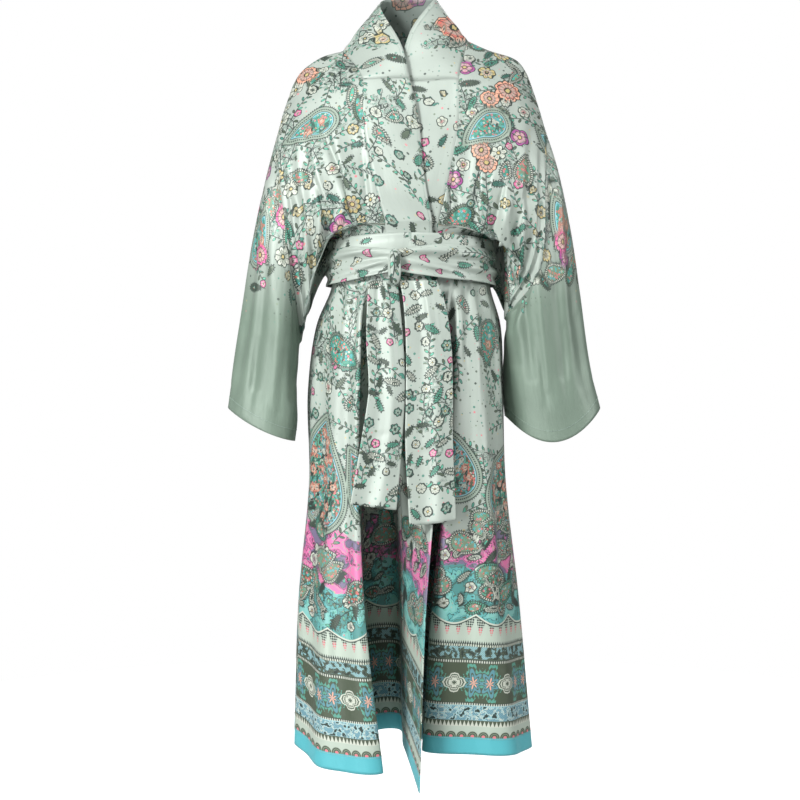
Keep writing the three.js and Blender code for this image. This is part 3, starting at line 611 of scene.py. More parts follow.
def with_border(dye, place, s, t, colour):
    """The traditional border above the hem, band by band."""
    border = dye.stops(t / BORDER_TOP, [(start / BORDER_TOP, tint) for start, tint in BORDER])
    # Shells on the lower pale band, and saw-teeth over them.
    x, y = s.every(19), t - (SHELLS + 1)
    far, shells = (x * x + y * y).sum("SQRT"), t.within(SHELLS, SAW_TEETH - 1, 0.5)
    border = dye.layered(
        border, (far.under(9.3) * shells, MOSS), (abs(far.every(3.1)).under(0.6, 0.5) * shells * far.under(9.6), INK),
        (far.under(3, 0.6) * shells, ROSE),
        ((t - SAW_TEETH).under(abs(s.every(7)) * 2.8, 0.8) * t.within(SAW_TEETH, LOW_SPRAYS), CREAM))
    # Beaded pendants under the swags of the upper pale band, and small teeth at its foot.
    x, y = s.every(19.5), (SWAGS - 1) - t
    bead_x, bead_t = x.every(3.9), t.every(4.2)
    beads = abs(x).under(10.5 - y * 0.3) * t.within(203, SWAGS) * (bead_x * bead_x + bead_t * bead_t).under(2.9, 1)
    border = dye.layered(
        border, (beads, INK), (beads * abs(x).under(2.6) * t.under(220), ROSE),
        ((t - PENDANTS).under(abs(s.every(4)) * 3.2, 0.8) * t.within(PENDANTS, 198), INK))
    for low, high, first, second in (
        (LOW_SPRAYS + 1, LOW_TEETH - 1, dyed(84, 132, 150), CREAM), (HIGH_SPRAYS + 2, TOP_TEETH - 2, MIST, INK),
    ):  # hatched sprays
        brush, band = dye.noise(place, 0.11), t.within(low, high, 0.5)
        hatch = abs((s + t).every(3.2)).under(0.8, 0.5)
        border = dye.layered(
            border, (brush.over(0.5, 0.02) * band * (hatch * 0.6 + 0.4), first),
            (abs(brush - 0.5).under(0.02, 0.015) * band, second), (brush.under(0.4, 0.02) * band, INK))
    # The wide olive band: pale rosettes, with blue flowers and their leaves between them.
    x, y = s.every(96), t - (ROSETTES + HIGH_TEETH) / 2
    rosette = abs(x) * 0.8 + abs(y) + (y.sum("ARCTAN2", x) * 8).sum("COSINE") * 1.5
    broad = t.within(ROSETTES + 2, HIGH_TEETH - 2)
    u = abs(x) - 34
    flower = (u * u * 1.5 + y * y * 0.55).sum("SQRT") - (y.sum("ARCTAN2", u) * 7).sum("COSINE") * 4.5
    leaves = (abs((u * 0.5 + y * 0.2).sum("SINE")) - abs((y * 0.26).sum("SINE"))).under(0.05, 0.1)
    border = dye.layered(
        border, (flower.under(15, 1.5) * broad, dyed(96, 150, 160)), (flower.within(7, 9.5) * broad, DEEP_OLIVE),
        (flower.under(4) * broad, PEACH), (leaves * flower.within(17, 25) * broad, dyed(92, 160, 142)),
        (rosette.under(19) * broad, CREAM), (rosette.within(10, 16.5), OLIVE), (rosette.within(12, 14), CREAM),
        (rosette.under(4), OLIVE))
    for low in (LOW_TEETH, HIGH_TEETH, TOP_TEETH - 2):
        border = dye.mixed(abs(s.every(4.2)).under(1.1) * t.within(low, low + 4), border, CREAM)
    scallop = t + abs(swag_wave(s)) * 16
    return dye.layered(
        colour, (scallop.under(SWAGS, 1), border), (abs(scallop - (SWAGS + 1)).under(1.4, 0.6), CREAM),
        (abs(scallop - (SWAGS - 1.5)).under(0.9, 0.6), INK))


def print_dye(name, bordered, base=SAGE, bare_below=0):
    """The printed satin. It has the hem's border where it reaches the hem, and is plain in its base colour under a
    height; on the sleeves that base is a darker sage, painted shade.
    """
    dye = Dye(name)
    s, t, inner = dye.parts(dye.attribute("cloth"))
    place = dye.node("ShaderNodeCombineXYZ", {}, {0: s, 1: t, 2: 0.0})
    colour = ground_colour(dye, place, s, t, bordered, base, bare_below)
    colour = with_figures(dye, place, with_tendrils(dye, colour))
    if bordered:
        colour = with_border(dye, place, s, t, colour)
    # The wrong side shows the print through the cloth, darker and duller.
    colour = dye.mixed(inner * 0.5, colour, dyed(84, 100, 96))
    return dye.satin(colour, satin_height(dye, s, t))


PRINT = print_dye("printed_satin", True)


MM = 0.001  # the cloths are worked out in mm, and their meshes are in m
SINGLE = 0.9  # thickness of one layer of satin, mm


def placed(name, data):
    """An object for a mesh, lamp or camera, in the scene."""
    made = bpy.data.objects.new(name, data)
    bpy.context.scene.collection.objects.link(made)
    return made


def dressed(mesh, s, t, inner, fields):
    """Puts a cloth's places and print on its points."""
    for key, value in {"cloth": np.stack([s, t, inner], 1), **fields}.items():
        kind, slot = ("FLOAT_VECTOR", "vector") if value.shape[1] == 3 else ("FLOAT_COLOR", "color")
        layer = mesh.attributes.new(key, kind, "POINT")
        layer.data.foreach_set(slot, value.astype(np.float32).ravel())


def sewn(name, grid, outward, s, t, fields, material, thickness=SINGLE, closed=False):
    """A cloth with two faces and its edges closed, in metres, carrying its print."""
    rows, columns = grid.shape[:2]
    points = np.concatenate([grid.reshape(-1, 3), (grid - facing(grid, outward, closed) * thickness).reshape(-1, 3)])
    at = np.arange(rows * columns).reshape(rows, columns)
    if closed:
        at = np.concatenate([at, at[:, :1]], 1)
    a, b, c, d = at[:-1, :-1], at[:-1, 1:], at[1:, 1:], at[1:, :-1]
    face = np.stack([a, b, c, d], -1).reshape(-1, 4)
    if outward < 0:
        face = face[:, ::-1]
    back = rows * columns
    loops = [at[0], at[-1][::-1]] if closed else [np.concatenate([at[0], at[1:, -1], at[-1, -2::-1], at[-2::-1, 0]])]
    rims = []
    for loop in loops:
        here, then = loop[:-1], loop[1:]
        rim = np.stack([then, here, here + back, then + back], -1)
        rims.append(rim if outward > 0 else rim[:, ::-1])
    rim = np.concatenate(rims)
    faces = np.concatenate([face, face[:, ::-1] + back, rim])
    mesh = bpy.data.meshes.new(name)
    mesh.from_pydata(points * MM, [], faces.tolist())
    smooth = np.ones(len(faces), bool)
    smooth[2 * len(face) :] = False
    mesh.polygons.foreach_set("use_smooth", smooth)
    two = {key: np.concatenate([value, value]) for key, value in fields.items()}
    dressed(mesh, np.tile(s.ravel(), 2), np.tile(t.ravel(), 2), np.repeat([0, 1], back), two)
    across = faces % columns
    if closed:  # the last column's faces reach round to the first
        across = np.where((across == 0) & (across == columns - 1).any(1)[:, None], columns, across)
    place = np.stack([faces % back // columns / (rows - 1), across / (columns - (not closed))], -1)
    inner = faces >= back
    inner[2 * len(face) :] = False
    # The face takes the upper three quarters of the UV map, and the wrong side the rest.
    place = np.where(inner[..., None], place * [0.98, 0.24] + 0.01, place * [0.98, 0.72] + [0.01, 0.27])
    mesh.uv_layers.new(name="OFBake").uv.foreach_set("vector", place.astype(np.float32).ravel())
    mesh.materials.append(material)
    return placed(name, mesh)


def worn(piece, node, slot, flat, area=None, held="hung", rests_on="back_cloth", with_pieces=()):
    """Puts a cloth on the robe's body in place of its solid. How it is cut and held, from slot to with_pieces, is not
    used.
    """
    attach(piece, "root")
    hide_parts(node)


gather_place = np.interp(panel_at, stations(GATHER_COLUMNS), np.linspace(0, 1, sum(GATHER_COLUMNS) + 1))
right_rows, right_band_rows = front_sections(SHOULDER_RIGHT, RIGHT_TOP, RIGHT_SKIRT)
# How many gathers, how far they drift to one side, and how deep they are from the shoulder to the hem, mm.
RIGHT_GATHERS = 5, 0.3, [0, 0, 3, 6, 6, 4, 2, 2, 6, 7, 8, 9, 9]
right = gathered(lengthwise(right_rows, ROWS, FOLD), -1, gather_place, *RIGHT_GATHERS)
s, t = upright(right, *laid_out(right, RIDGE), -PRINT_MIDDLE)
RIGHT_CREASES = [
    (-8, 908, -66, 1085, 5, 10), (-52, 900, -100, 1040, 6, 8), (-84, 880, -128, 1010, 8, 6),
    (10, 925, -4, 1060, 6, 5), (34, 925, 40, 1040, 6, 4), (-2, 920, -36, 1010, 5, -3), (-36, 905, -80, 1010, 6, -3),
    (-110, 830, -140, 960, 9, 5), (-60, 1060, -104, 1160, 14, 5), (20, 1050, -10, 1150, 14, 4),
    (-130, 880, -150, 760, 8, 3), (-90, 890, -110, 640, 8, 3), (-50, 890, -60, 560, 9, 3),
    (-160, 860, -200, 640, 10, 3), (-20, 880, -24, 700, 7, 2.5), (-120, 500, -140, 180, 14, 4),
    (-60, 420, -70, 120, 12, 3), (-180, 380, -200, 60, 12, 3), (-230, 540, -240, 280, 10, 3),
    (40, 700, 44, 300, 9, 3), (-190, 1090, -120, 1130, 9, 2), (-200, 1180, -110, 1240, 12, 2.5),
]
right = creased(right, -1, s, t, RIGHT_CREASES)
right_front = sewn("right_front_cloth", right, -1, s, t, front_print(11, 300, s, t), PRINT)
worn(right_front, "front_right", "print", (0.61, 1.56), 0.45)

# ---- Left front ----
# The front that lies under: the same length of printed satin, gathered like the right one. It is sewn to the back,
# its band, the collar and the sleeve, and its inner part runs back under the right front.

SHOULDER_LEFT = [[236, -5, -96], [224, -3, -58], [208, 0, -16], [191, 0, 4], [140, 0, 22], [104, 0, 38]]
LEFT_TOP = [
    ([[239, -36, -140], [205, -55, -98], [168, -64, -66], [125, -70, -50], [84, -74, -46]],
     [[34, -78, -50], [-25, -75, -54]]),
    ([[238, -68, -225], [200, -92, -200], [160, -103, -172], [118, -104, -148], [82, -101, -130]],
     [[34, -103, -124], [-14, -100, -118]]),
    ([[227, -76, -385], [197, -102, -330], [155, -114, -290], [104, -117, -264], [60, -116, -248]],
     [[12, -117, -242], [-36, -114, -238]]),
    ([[168, -20, -468], [192, -70, -378], [172, -86, -352], [134, -98, -328], [94, -107, -315],
      [46, -112, -309]], [[0, -115, -307], [-48, -112, -306]]),
    ([[164, -8, -321], [150, -58, -320], [126, -84, -318], [90, -102, -316], [46, -110, -313]],
     [[0, -114, -312], [-48, -111, -312]]),
    ([[145, -8, -328], [132, -52, -327], [113, -74, -326], [84, -94, -325], [46, -106, -325]],
     [[0, -111, -324], [-48, -105, -323]]),
]
# Skirt sections: side, flank, face, crest, ridge, turn, lap, inside, seam, band, edge.
LEFT_SKIRT = [
    (-405, [[143, -10], [130, -54], [112, -74], [98, -84], [84, -92], [76, -96], [67, -99],
            [58, -102], [46, -104], [0, -110], [-48, -103]]),
    (-480, [[163, -4], [151, -56], [128, -92], [104, -112], [80, -121], [66, -113], [56, -106],
            [46, -104], [36, -105], [-10, -103], [-54, -88]]),
    (-600, [[168, 2], [159, -62], [134, -104], [106, -124], [72, -129], [60, -108], [50, -84],
            [38, -70], [26, -63], [-18, -55], [-58, -44]]),
    (-760, [[173, 8], [167, -62], [144, -112], [106, -132], [60, -130], [52, -96], [44, -56],
            [30, -26], [14, -8], [-28, 3], [-66, 20]]),
    (-980, [[198, 16], [191, -64], [162, -122], [108, -142], [36, -134], [30, -90], [26, -44],
            [18, -4], [4, 20], [-38, 36], [-80, 44]]),
    (-1222, [[221, 24, -12], [214, -62, -10], [185, -124, -8], [110, -141, -6], [20, -133, 0],
             [16, -84, 2], [14, -36, 4], [8, 10, 6], [-6, 42, 8], [-48, 56, 10], [-90, 64, 12]]),
]
left_rows, left_band_rows = front_sections(SHOULDER_LEFT, LEFT_TOP, LEFT_SKIRT)
LEFT_GATHERS = 5, 0.1, [0, 0, 4, 8, 6, 4, 2, 2, 6, 7, 8, 9, 9]
left = gathered(lengthwise(left_rows, ROWS, FOLD), 1, gather_place, *LEFT_GATHERS)
s, t = upright(left, *laid_out(left, RIDGE), PRINT_MIDDLE)
s[fold_at + 1 :] *= -1  # its rows run the other way, from the wearer's left side
LEFT_CREASES = [
    (-12, 908, -22, 1040, 5, 10), (0, 925, -20, 1080, 6, 6), (22, 915, 44, 1060, 7, 6), (52, 896, 84, 1030, 6, 8),
    (84, 870, 124, 1010, 8, 6), (-12, 920, -30, 1030, 4, -3), (36, 905, 62, 1020, 5, -3), (66, 890, 104, 1010, 6, -3),
    (112, 830, 140, 960, 9, 5), (60, 1060, 100, 1160, 14, 5), (-10, 1060, 14, 1160, 14, 4), (130, 880, 150, 740, 8, 3),
    (90, 890, 105, 620, 8, 3.5), (50, 890, 62, 540, 9, 3.5), (160, 860, 195, 650, 10, 3), (20, 880, 22, 680, 7, 3),
    (120, 520, 130, 150, 14, 4), (60, 460, 66, 90, 11, 3), (180, 400, 195, 60, 12, 3), (230, 560, 235, 260, 10, 3),
    (190, 1100, 120, 1150, 9, 2), (205, 1190, 110, 1260, 12, 2.5),
]
left = creased(left, 1, s, t, LEFT_CREASES)
left_front = sewn("left_front_cloth", left, 1, s, t, front_print(23, 300, s, t), PRINT)
worn(left_front, "front_left", "print", (0.51, 1.51), 0.4)

# ---- Back ----
# One panel of the printed satin from the shoulders to the hem, with a neck let in at the top and soft gathers all
# down it. It is sewn to the fronts at the shoulders and down the sides, and to the collar and the sleeves.

NECK_BACK = [[-124, 0, 20], [-112, 44, 27], [-66, 78, 33], [0, 90, 36], [60, 80, 39], [96, 44, 41], [104, 0, 38]]
BACK_TOP = [
    [[-239, 30, -140], [-190, 66, -95], [-120, 92, -62], [-50, 103, -48], [20, 104, -45], [90, 98, -50],
     [160, 80, -72], [206, 56, -105], [240, 28, -142]],
    [[-236, 58, -215], [-190, 88, -190], [-110, 108, -172], [0, 114, -165], [110, 110, -172], [192, 88, -190],
     [238, 56, -235]],
    [[-226, 52, -345], [-186, 88, -325], [-110, 108, -300], [0, 113, -292], [110, 108, -300], [190, 88, -335],
     [228, 52, -388]],
    [[-197, -30, -509], [-188, 28, -452], [-150, 74, -372], [-80, 104, -330], [0, 113, -322], [85, 104, -332],
     [150, 80, -400], [178, 38, -470], [168, -20, -468]],
    [[-164, -8, -319], [-146, 52, -316], [-92, 94, -312], [0, 108, -311], [92, 94, -312], [146, 52, -317],
     [164, -8, -321]],
    [[-145, -8, -326], [-128, 45, -320], [-80, 80, -318], [0, 94, -317], [80, 80, -318], [128, 45, -321],
     [145, -8, -328]],
]
BACK_SKIRT = [
    (-405, [[-143, -10], [-130, 42], [-83, 80], [0, 95], [84, 80], [130, 42], [143, -10]]),
    (-480, [[-172, -4], [-158, 54], [-96, 96], [0, 107], [96, 96], [150, 54], [163, -4]]),
    (-600, [[-188, 2], [-176, 66], [-104, 105], [0, 112], [100, 105], [158, 62], [168, 2]]),
    (-760, [[-186, 8], [-178, 74], [-108, 111], [0, 116], [104, 111], [166, 72], [173, 8]]),
    (-980, [[-206, 16], [-198, 84], [-118, 118], [0, 122], [116, 118], [190, 82], [198, 16]]),
    (-1222, [[-214, 22, 6], [-206, 92, 0], [-124, 124, -4], [0, 128, -4], [124, 124, -6], [212, 92, -10],
             [221, 24, -12]]),
]
NECK_SHARE = 0.3  # of the panel's width
NECK_COLUMNS = 28
SHOULDER_COLUMNS = [9, 8, 7, 7, 7, 8, 6, 7]  # from the side to the neck
BACK_GATHERS = 8, 0.2, [0, 1, 3, 6, 6, 4, 2, 2, 8, 10, 12, 14, 15]
back_panel_at = stations(SHOULDER_COLUMNS)
neck_at = np.linspace(0, 1, NECK_COLUMNS + 1)[1:-1]
side_share = (1 - NECK_SHARE) / 2
back_at = np.concatenate(
    [back_panel_at * side_share, side_share + neck_at * NECK_SHARE, (1 - back_panel_at * side_share)[::-1]])
back_rows = [np.concatenate([
    bend_by_length(SHOULDER_RIGHT, back_panel_at), bend_by_length(NECK_BACK, neck_at),
    bend_by_length(SHOULDER_LEFT, back_panel_at)[::-1]])]
back_rows += [bend_by_length(points, back_at) for points in BACK_TOP + [skirt_points(row) for row in BACK_SKIRT]]
side_steps = stations(GATHER_COLUMNS) * side_share
cad_at = np.concatenate([side_steps, side_share + np.linspace(0, 1, 9)[1:-1] * NECK_SHARE, (1 - side_steps)[::-1]])
back_place = np.interp(back_at, cad_at, np.linspace(0, 1, len(cad_at)))
back = gathered(lengthwise(back_rows, ROWS, FOLD), 1, back_place, *BACK_GATHERS)
back[fold_at:, 0], back[fold_at:, -1] = right[fold_at:, 0], left[fold_at:, 0]
s, t = upright(back, *laid_out(back, len(back_at) // 2), 0)
BACK_CREASES = [
    (-130, 1010, -60, 1170, 7, 3), (-90, 1000, -30, 1210, 6, 3), (-40, 1000, -20, 1180, 7, -2.5),
    (10, 1000, 5, 1220, 7, 3), (50, 1000, 30, 1170, 6, 3), (95, 1000, 50, 1200, 7, 3), (135, 1010, 80, 1160, 7, 2.5),
    (-120, 880, -140, 640, 9, 3), (-70, 890, -80, 560, 9, 3), (-20, 880, -24, 600, 8, 3), (30, 890, 34, 520, 9, 3),
    (80, 890, 90, 600, 9, 3), (125, 880, 150, 660, 9, 3), (-150, 480, -170, 90, 13, 4), (-60, 460, -66, 80, 12, 3.5),
    (40, 500, 44, 60, 13, 4), (140, 460, 160, 90, 12, 3.5), (-190, 1130, -80, 1210, 12, 2),
    (190, 1130, 80, 1210, 12, 2),
]
back = creased(back, 1, s, t, BACK_CREASES)
back_cloth = sewn("back_cloth", back, 1, s, t, front_print(37, 380, s, t), PRINT)
worn(back_cloth, "back", "print", (0.72, 1.57), 0.74)

# ---- Front bands ----
# A doubled strip of the same satin along each front's edge, from the end of the collar down to the hem. One edge is
# sewn to the front, and the other hangs free.

DOUBLED = 1.3  # thickness of two layers, mm
BANDS = {}
for side, rows, front, outward, seed, size in (
    ("right", right_band_rows, right, -1, 51, ((0.14, 1.24), 0.123)),
    ("left", left_band_rows, left, 1, 57, ((0.11, 1.2), 0.11)),
):
    grid = lengthwise(rows, ROWS[1:], FOLD - 1)
    grid[:, 0] = front[ROWS[0] :, -1]
    s, t = laid_out(grid, 0)
    figures = scattered(seed, -20, 100, 262, 560, 30, LOW) + scattered(seed + 1, -20, 100, 600, 1300, 34, SMALL)
    fields = printed(s, t, figures, wandering(seed + 2, -20, 90, 450, 1300, 16, 150))
    BANDS[side] = grid
    piece = sewn(side + "_band_cloth", grid, outward, s, t, fields, PRINT, thickness=DOUBLED)
    worn(piece, "band_" + side, "print", *size, rests_on=side + "_front_cloth")

# ---- Collar ----
# A wide doubled strip that stands round the neck. Its lower edge is sewn to the fronts and the back, and its free
# edge rolls out a little.

COLLAR_EDGE = [
    [-3, -86, -48], [-16, -67, 12], [-56, 6, 103], [-46, 50, 128], [0, 64, 135], [44, 46, 130], [38, 6, 112],
    [-3, -48, 42], [-25, -75, -54],
]
COLLAR_SWELL = 5
RISE = ROWS[0]  # rows from the shoulder down to the collar's end on each front
neck_line = back[0, len(back_panel_at) : len(back_panel_at) + NECK_COLUMNS - 1]
neck_seam = np.concatenate([right[: RISE + 1, -1][::-1], neck_line, left[: RISE + 1, -1]])
# The free edge is shared out over the seam as the seam's own parts are.
edge_at = np.interp(np.arange(len(neck_seam)), [0, RISE, RISE + NECK_COLUMNS, len(neck_seam) - 1], [0, 0.25, 0.75, 1])
edge = bend(COLLAR_EDGE, edge_at)
out = (neck_seam + edge) * [1, 1, 0]
out /= np.linalg.norm(out, axis=1, keepdims=True)
rise = band_at[:, None, None]
collar = neck_seam * (1 - rise) + edge * rise + out * (4 * COLLAR_SWELL * rise * (1 - rise))
collar[:, 0], collar[:, -1] = BANDS["right"][0], BANDS["left"][0]
s, t = laid_out(collar, len(neck_seam) // 2)
COLLAR_CREASES = [
    (-170, 20, -150, 110, 7, 2), (-110, 15, -100, 90, 7, 2), (120, 20, 108, 100, 7, 2), (165, 30, 150, 110, 7, 2),
    (-30, 30, -20, 110, 9, 1.5), (60, 30, 50, 110, 9, 1.5),
]
collar = creased(collar, -1, s, t, COLLAR_CREASES)
figures = [("peony", 150, 62, 36, 20, CORAL, PEACH), ("rose", 92, 60, 22, 0, PINK, CREAM),
           ("leaf", 190, 84, 24, 60, TEAL, CREAM), ("leaf", 112, 96, 22, 130, MINT, OLIVE),
           ("leaf", 172, 30, 20, 200, MINT, CREAM)]
figures += scattered(61, -260, 80, 10, 130, 48, BLOOMS + SMALL)
fields = printed(s, t, figures, wandering(62, -240, 240, 0, 130, 16, 110))
UPPER_PRINT = print_dye("upper_print", False)
collar_cloth = sewn("collar_cloth", collar, -1, s, t, fields, UPPER_PRINT, thickness=DOUBLED)
worn(collar_cloth, "collar", "print", (0.59, 0.11), 0.058)

# ---- Sleeves ----
# One wide tube each, dropped from the shoulder: printed above like the fronts, plain from the forearm down in a
# darker sage that is painted shade, with a turned and stitched hem at the cuff.

# Sections: the points on its two folds, then how far front and back swell, the line bends and the front hangs.
SLEEVES = {
    "sleeve_right": (-1, right, back[:, 0], [
        ([-262, -6, -212], [-202, -34, -548], 66, 62, -16, 0), ([-283, -8, -320], [-205, -36, -582], 62, 58, -10, 0),
        ([-301, -10, -438], [-205, -38, -615], 58, 54, -4, 2), ([-320, -10, -548], [-204, -40, -652], 56, 52, 0, 5),
        ([-331, -12, -628], [-208, -42, -688], 58, 52, 0, 8)]),
    "sleeve_left": (1, left, back[:, -1], [
        ([262, -6, -190], [168, -12, -500], 68, 60, 38, 14), ([284, -8, -300], [168, -4, -530], 66, 58, 28, 22),
        ([303, -10, -430], [167, 4, -562], 64, 56, 14, 32), ([322, -10, -548], [168, 12, -602], 62, 52, 6, 42),
        ([342, -12, -628], [172, 20, -644], 64, 50, 0, 54)]),
}
SLEEVE_ROWS = [22, 20, 22, 22, 16]  # from the armhole to the cuff, section by section
ARM_RADIUS = 88  # round which the sleeve's print is laid out, mm
SLEEVE_CREASES = [
    (-60, 60, -50, 400, 15, 7), (-20, 40, 0, 330, 13, -5), (34, 60, 44, 430, 15, 7), (84, 40, 76, 360, 13, 5),
    (120, 60, 116, 400, 15, -4), (150, 50, 140, 420, 15, 6), (-100, 90, -90, 380, 14, 6), (-140, 60, -130, 420, 15, 5),
    (-190, 60, -170, 420, 16, 6), (200, 60, 190, 420, 15, 6), (240, 80, 235, 400, 14, 5), (-240, 100, -235, 400, 14, 4),
    (-70, 330, 10, 500, 9, 5), (-50, 370, 50, 540, 9, 5), (-84, 260, -30, 400, 8, 4), (40, 10, 46, 150, 11, 4),
    (-30, 6, -24, 140, 10, 3), (96, 4, 92, 170, 11, 3), (0, 470, 60, 590, 10, 4),
]


def sleeve_ring(top, bottom, front, rear, bow, drop, turn):
    angle = 2 * np.pi * turn
    side = np.sin(angle)
    swell = np.sign(side) * np.abs(side) ** 0.8
    ring = np.array(top) + (np.array(bottom) - np.array(top)) * ((1 - np.cos(angle)) / 2)[:, None]
    ring[:, 1] -= np.where(swell > 0, swell * front, swell * rear)
    ring[:, 0] += side**2 * bow
    ring[:, 2] -= np.maximum(0, side) ** 2 * drop
    return ring


# The sleeves' plain ground is a darker sage than the fronts' sage: painted shade for the lower sleeves, which hang in
# shade.
SLEEVE_PRINT_PAINTED_SHADE = print_dye("sleeve_print_painted_shade", False, dyed(116, 134, 120), 205)
CUFFS = {}
# The armhole is the sleeve's first section: places round it follow the panels' rows, down the front, up the back.
gather_steps = sum(GATHER_ROWS[:FOLD])
armhole_turn = np.interp(stations(ROWS[:FOLD]), stations(GATHER_ROWS[:FOLD]), np.arange(gather_steps + 1))
armhole_turn = armhole_turn / (2 * gather_steps)
armhole_turn = np.concatenate([armhole_turn, 1 - armhole_turn[1:-1][::-1]])
for name, (outward, front, rear, sections) in SLEEVES.items():
    armhole = np.concatenate([front[: fold_at + 1, 0], rear[1:fold_at][::-1]])
    rings = np.array([armhole] + [sleeve_ring(*section, armhole_turn) for section in sections])
    grid = np.roll(bend(rings, stations(SLEEVE_ROWS)), -fold_at, 1)  # the tube's seam is underneath
    # Its print is laid round the arm: s round it from its front to its outer side, t by its height over the cuff.
    middle = np.interp(-grid[..., 2], [100, 680], [196, 262])
    s = ARM_RADIUS * np.arctan2(grid[..., 0] * outward - middle, -14 - grid[..., 1])
    t = grid[..., 2] + np.interp(np.abs(grid[..., 0]), [170, 335], [644, 628] if outward > 0 else [690, 636])
    grid = creased(grid, outward, s, t, SLEEVE_CREASES, closed=True)
    seed = 71 if name == "sleeve_right" else 83
    figures = scattered(seed, -330, 330, 240, 640, 34, BLOOMS + SMALL, -1.3)
    for n, turn in enumerate((-250, -130, 60, 190)):
        figures += filled("paisley", turn, 330 + 110 * (n % 2), 62, 20 * n, TEAL, RING, seed + n)
    figures += [("peony", at_s, at_t, size, 40 * n, ROSE, PINK) for n, (at_s, at_t, size) in enumerate((
        (-40, 330, 26), (10, 380, 22), (-90, 410, 24), (60, 300, 20), (130, 390, 26), (-150, 320, 22)))]
    fields = printed(s, t, figures, wandering(seed + 1, -300, 300, 215, 540, 40, 140))
    CUFFS[name] = (grid, laid_out(np.concatenate([grid, grid[:, :1]], 1), 0)[1][:, :-1], outward)
    piece = sewn(name + "_cloth", grid, outward, s, t, fields, SLEEVE_PRINT_PAINTED_SHADE, closed=True)
    worn(piece, name, "plain", (0.86, 0.54), 0.15)

# ---- Belt ----
# A long soft strip of the same satin, doubled: a flat pass round the waist, a second one drawn together over it
# towards the knot, the knot, and two loose ends that hang down the front.

WRAP = (149, 113, -324, -372, 0.0, 1.0)  # half width, half depth, upper edge, lower edge, crease depth, creases
PASS = (151.4, 115.4, -342, -403, 3.2, 2.5)
WAIST_Y = -10
BELT_LEAN = 6
KNOT_X, KNOT_Y, KNOT_Z = -29, -137.4, -385
KNOT_HALF = np.array([12, 11, 31])
KNOT_RINGS, KNOT_SPOKES = 31, 48
WRAP_COLUMNS, WRAP_ROWS = 180, 10
PASS_COLUMNS, PASS_ROWS = 220, 24
END_COLUMNS, END_ROWS = 32, [10, 16, 20, 20, 26]
BELT_THICKNESS = 1.4


def joined(*parts):
    return np.stack(np.broadcast_arrays(*parts), -1)


def belt_pass(sizes, angle, rows, height=1.0):
    half_width, half_depth, top, bottom, crease, creases = sizes
    across = np.linspace(0, 1, rows + 1)[:, None]
    out = crease * 0.5 * (1 - np.cos(2 * np.pi * creases * across))
    return joined(
        (half_width + out) * np.sin(angle), WAIST_Y - (half_depth + out) * np.cos(angle),
        (top + bottom) / 2 + (top - bottom) / 2 * height * (1 - 2 * across) - BELT_LEAN * np.sin(angle) ** 2)


SPRIGS = [("leaf", 12, TEAL, MINT), ("star", 9, MINT, TEAL), ("leaf", 10, MOSS, OLIVE), ("daisy", 9, SAGE, CREAM),
          ("leaf", 14, MINT, CREAM), ("rose", 7, ROSE, PINK)]


def belt_print(seed, s, t, spacing=44, tendrils=4):
    figures = scattered(seed, s.min(), s.max(), t.min(), t.max(), spacing, SPRIGS)
    return printed(s, t, figures, wandering(seed + 1, s.min(), s.max(), t.min(), t.max(), tendrils, 90))


def belt_cloth(name, grid, s, t, fields, closed=False):
    return sewn(name + "_cloth", grid, -1, s, t, fields, UPPER_PRINT, thickness=BELT_THICKNESS, closed=closed)


wrap = belt_pass(WRAP, np.linspace(0, 2 * np.pi, WRAP_COLUMNS + 1)[:-1], WRAP_ROWS)
s, t = laid_out(wrap, WRAP_COLUMNS // 2)
WRAP_CREASES = [
    (-300, 36, -120, 42, 4, -2), (-200, 22, 60, 30, 4, -1.6), (60, 40, 260, 34, 4, -2), (180, 24, 400, 30, 4, -1.6),
    (-400, 30, -260, 24, 4, -1.8), (-380, 42, -300, 38, 3, 1.2), (330, 42, 404, 38, 3, 1.2),
]
wrap = creased(wrap, -1, s, t, WRAP_CREASES, closed=True)
wrap_cloth = belt_cloth("belt_wrap", wrap, s, t, belt_print(91, s, t, 40, 16), closed=True)
worn(wrap_cloth, "belt_wrap", "belt", (0.82, 0.05), held="stretched")

along = np.linspace(0, 1, PASS_COLUMNS + 1)
turn = np.arcsin(KNOT_X / PASS[0]) / (2 * np.pi) + 0.0003 + 0.9994 * along  # it starts and ends in the knot
near_knot = np.maximum(0, 1 - np.minimum(along, 1 - along) * 9)
drawn = belt_pass(PASS, 2 * np.pi * turn, PASS_ROWS, 1 - 0.4 * near_knot**1.5)
s, t = laid_out(drawn, PASS_COLUMNS // 2)
PASS_CREASES = [
    (-428, 26, -290, 10, 3.5, -4.5), (-426, 34, -270, 34, 3, 2.4), (-424, 40, -300, 56, 3.5, -4.5),
    (-410, 20, -330, 24, 2.5, 2), (-390, 44, -250, 46, 3.5, -2.5), (-300, 22, -150, 26, 4, -2.5),
    (-250, 40, -60, 38, 4, 2), (428, 24, 290, 8, 3.5, -4.5), (426, 32, 260, 30, 3, 2.4),
    (424, 42, 300, 54, 3.5, -4.5), (410, 16, 330, 16, 2.5, 2), (390, 50, 250, 44, 3.5, -2.5),
    (290, 20, 120, 26, 4, -2.5), (230, 40, 60, 36, 4, 2), (-120, 20, 40, 26, 3.5, -2),
]
drawn = creased(drawn, -1, s, t, PASS_CREASES)
drawn_cloth = belt_cloth("belt_pass", drawn, s, t, belt_print(93, s, t, 38, 20))

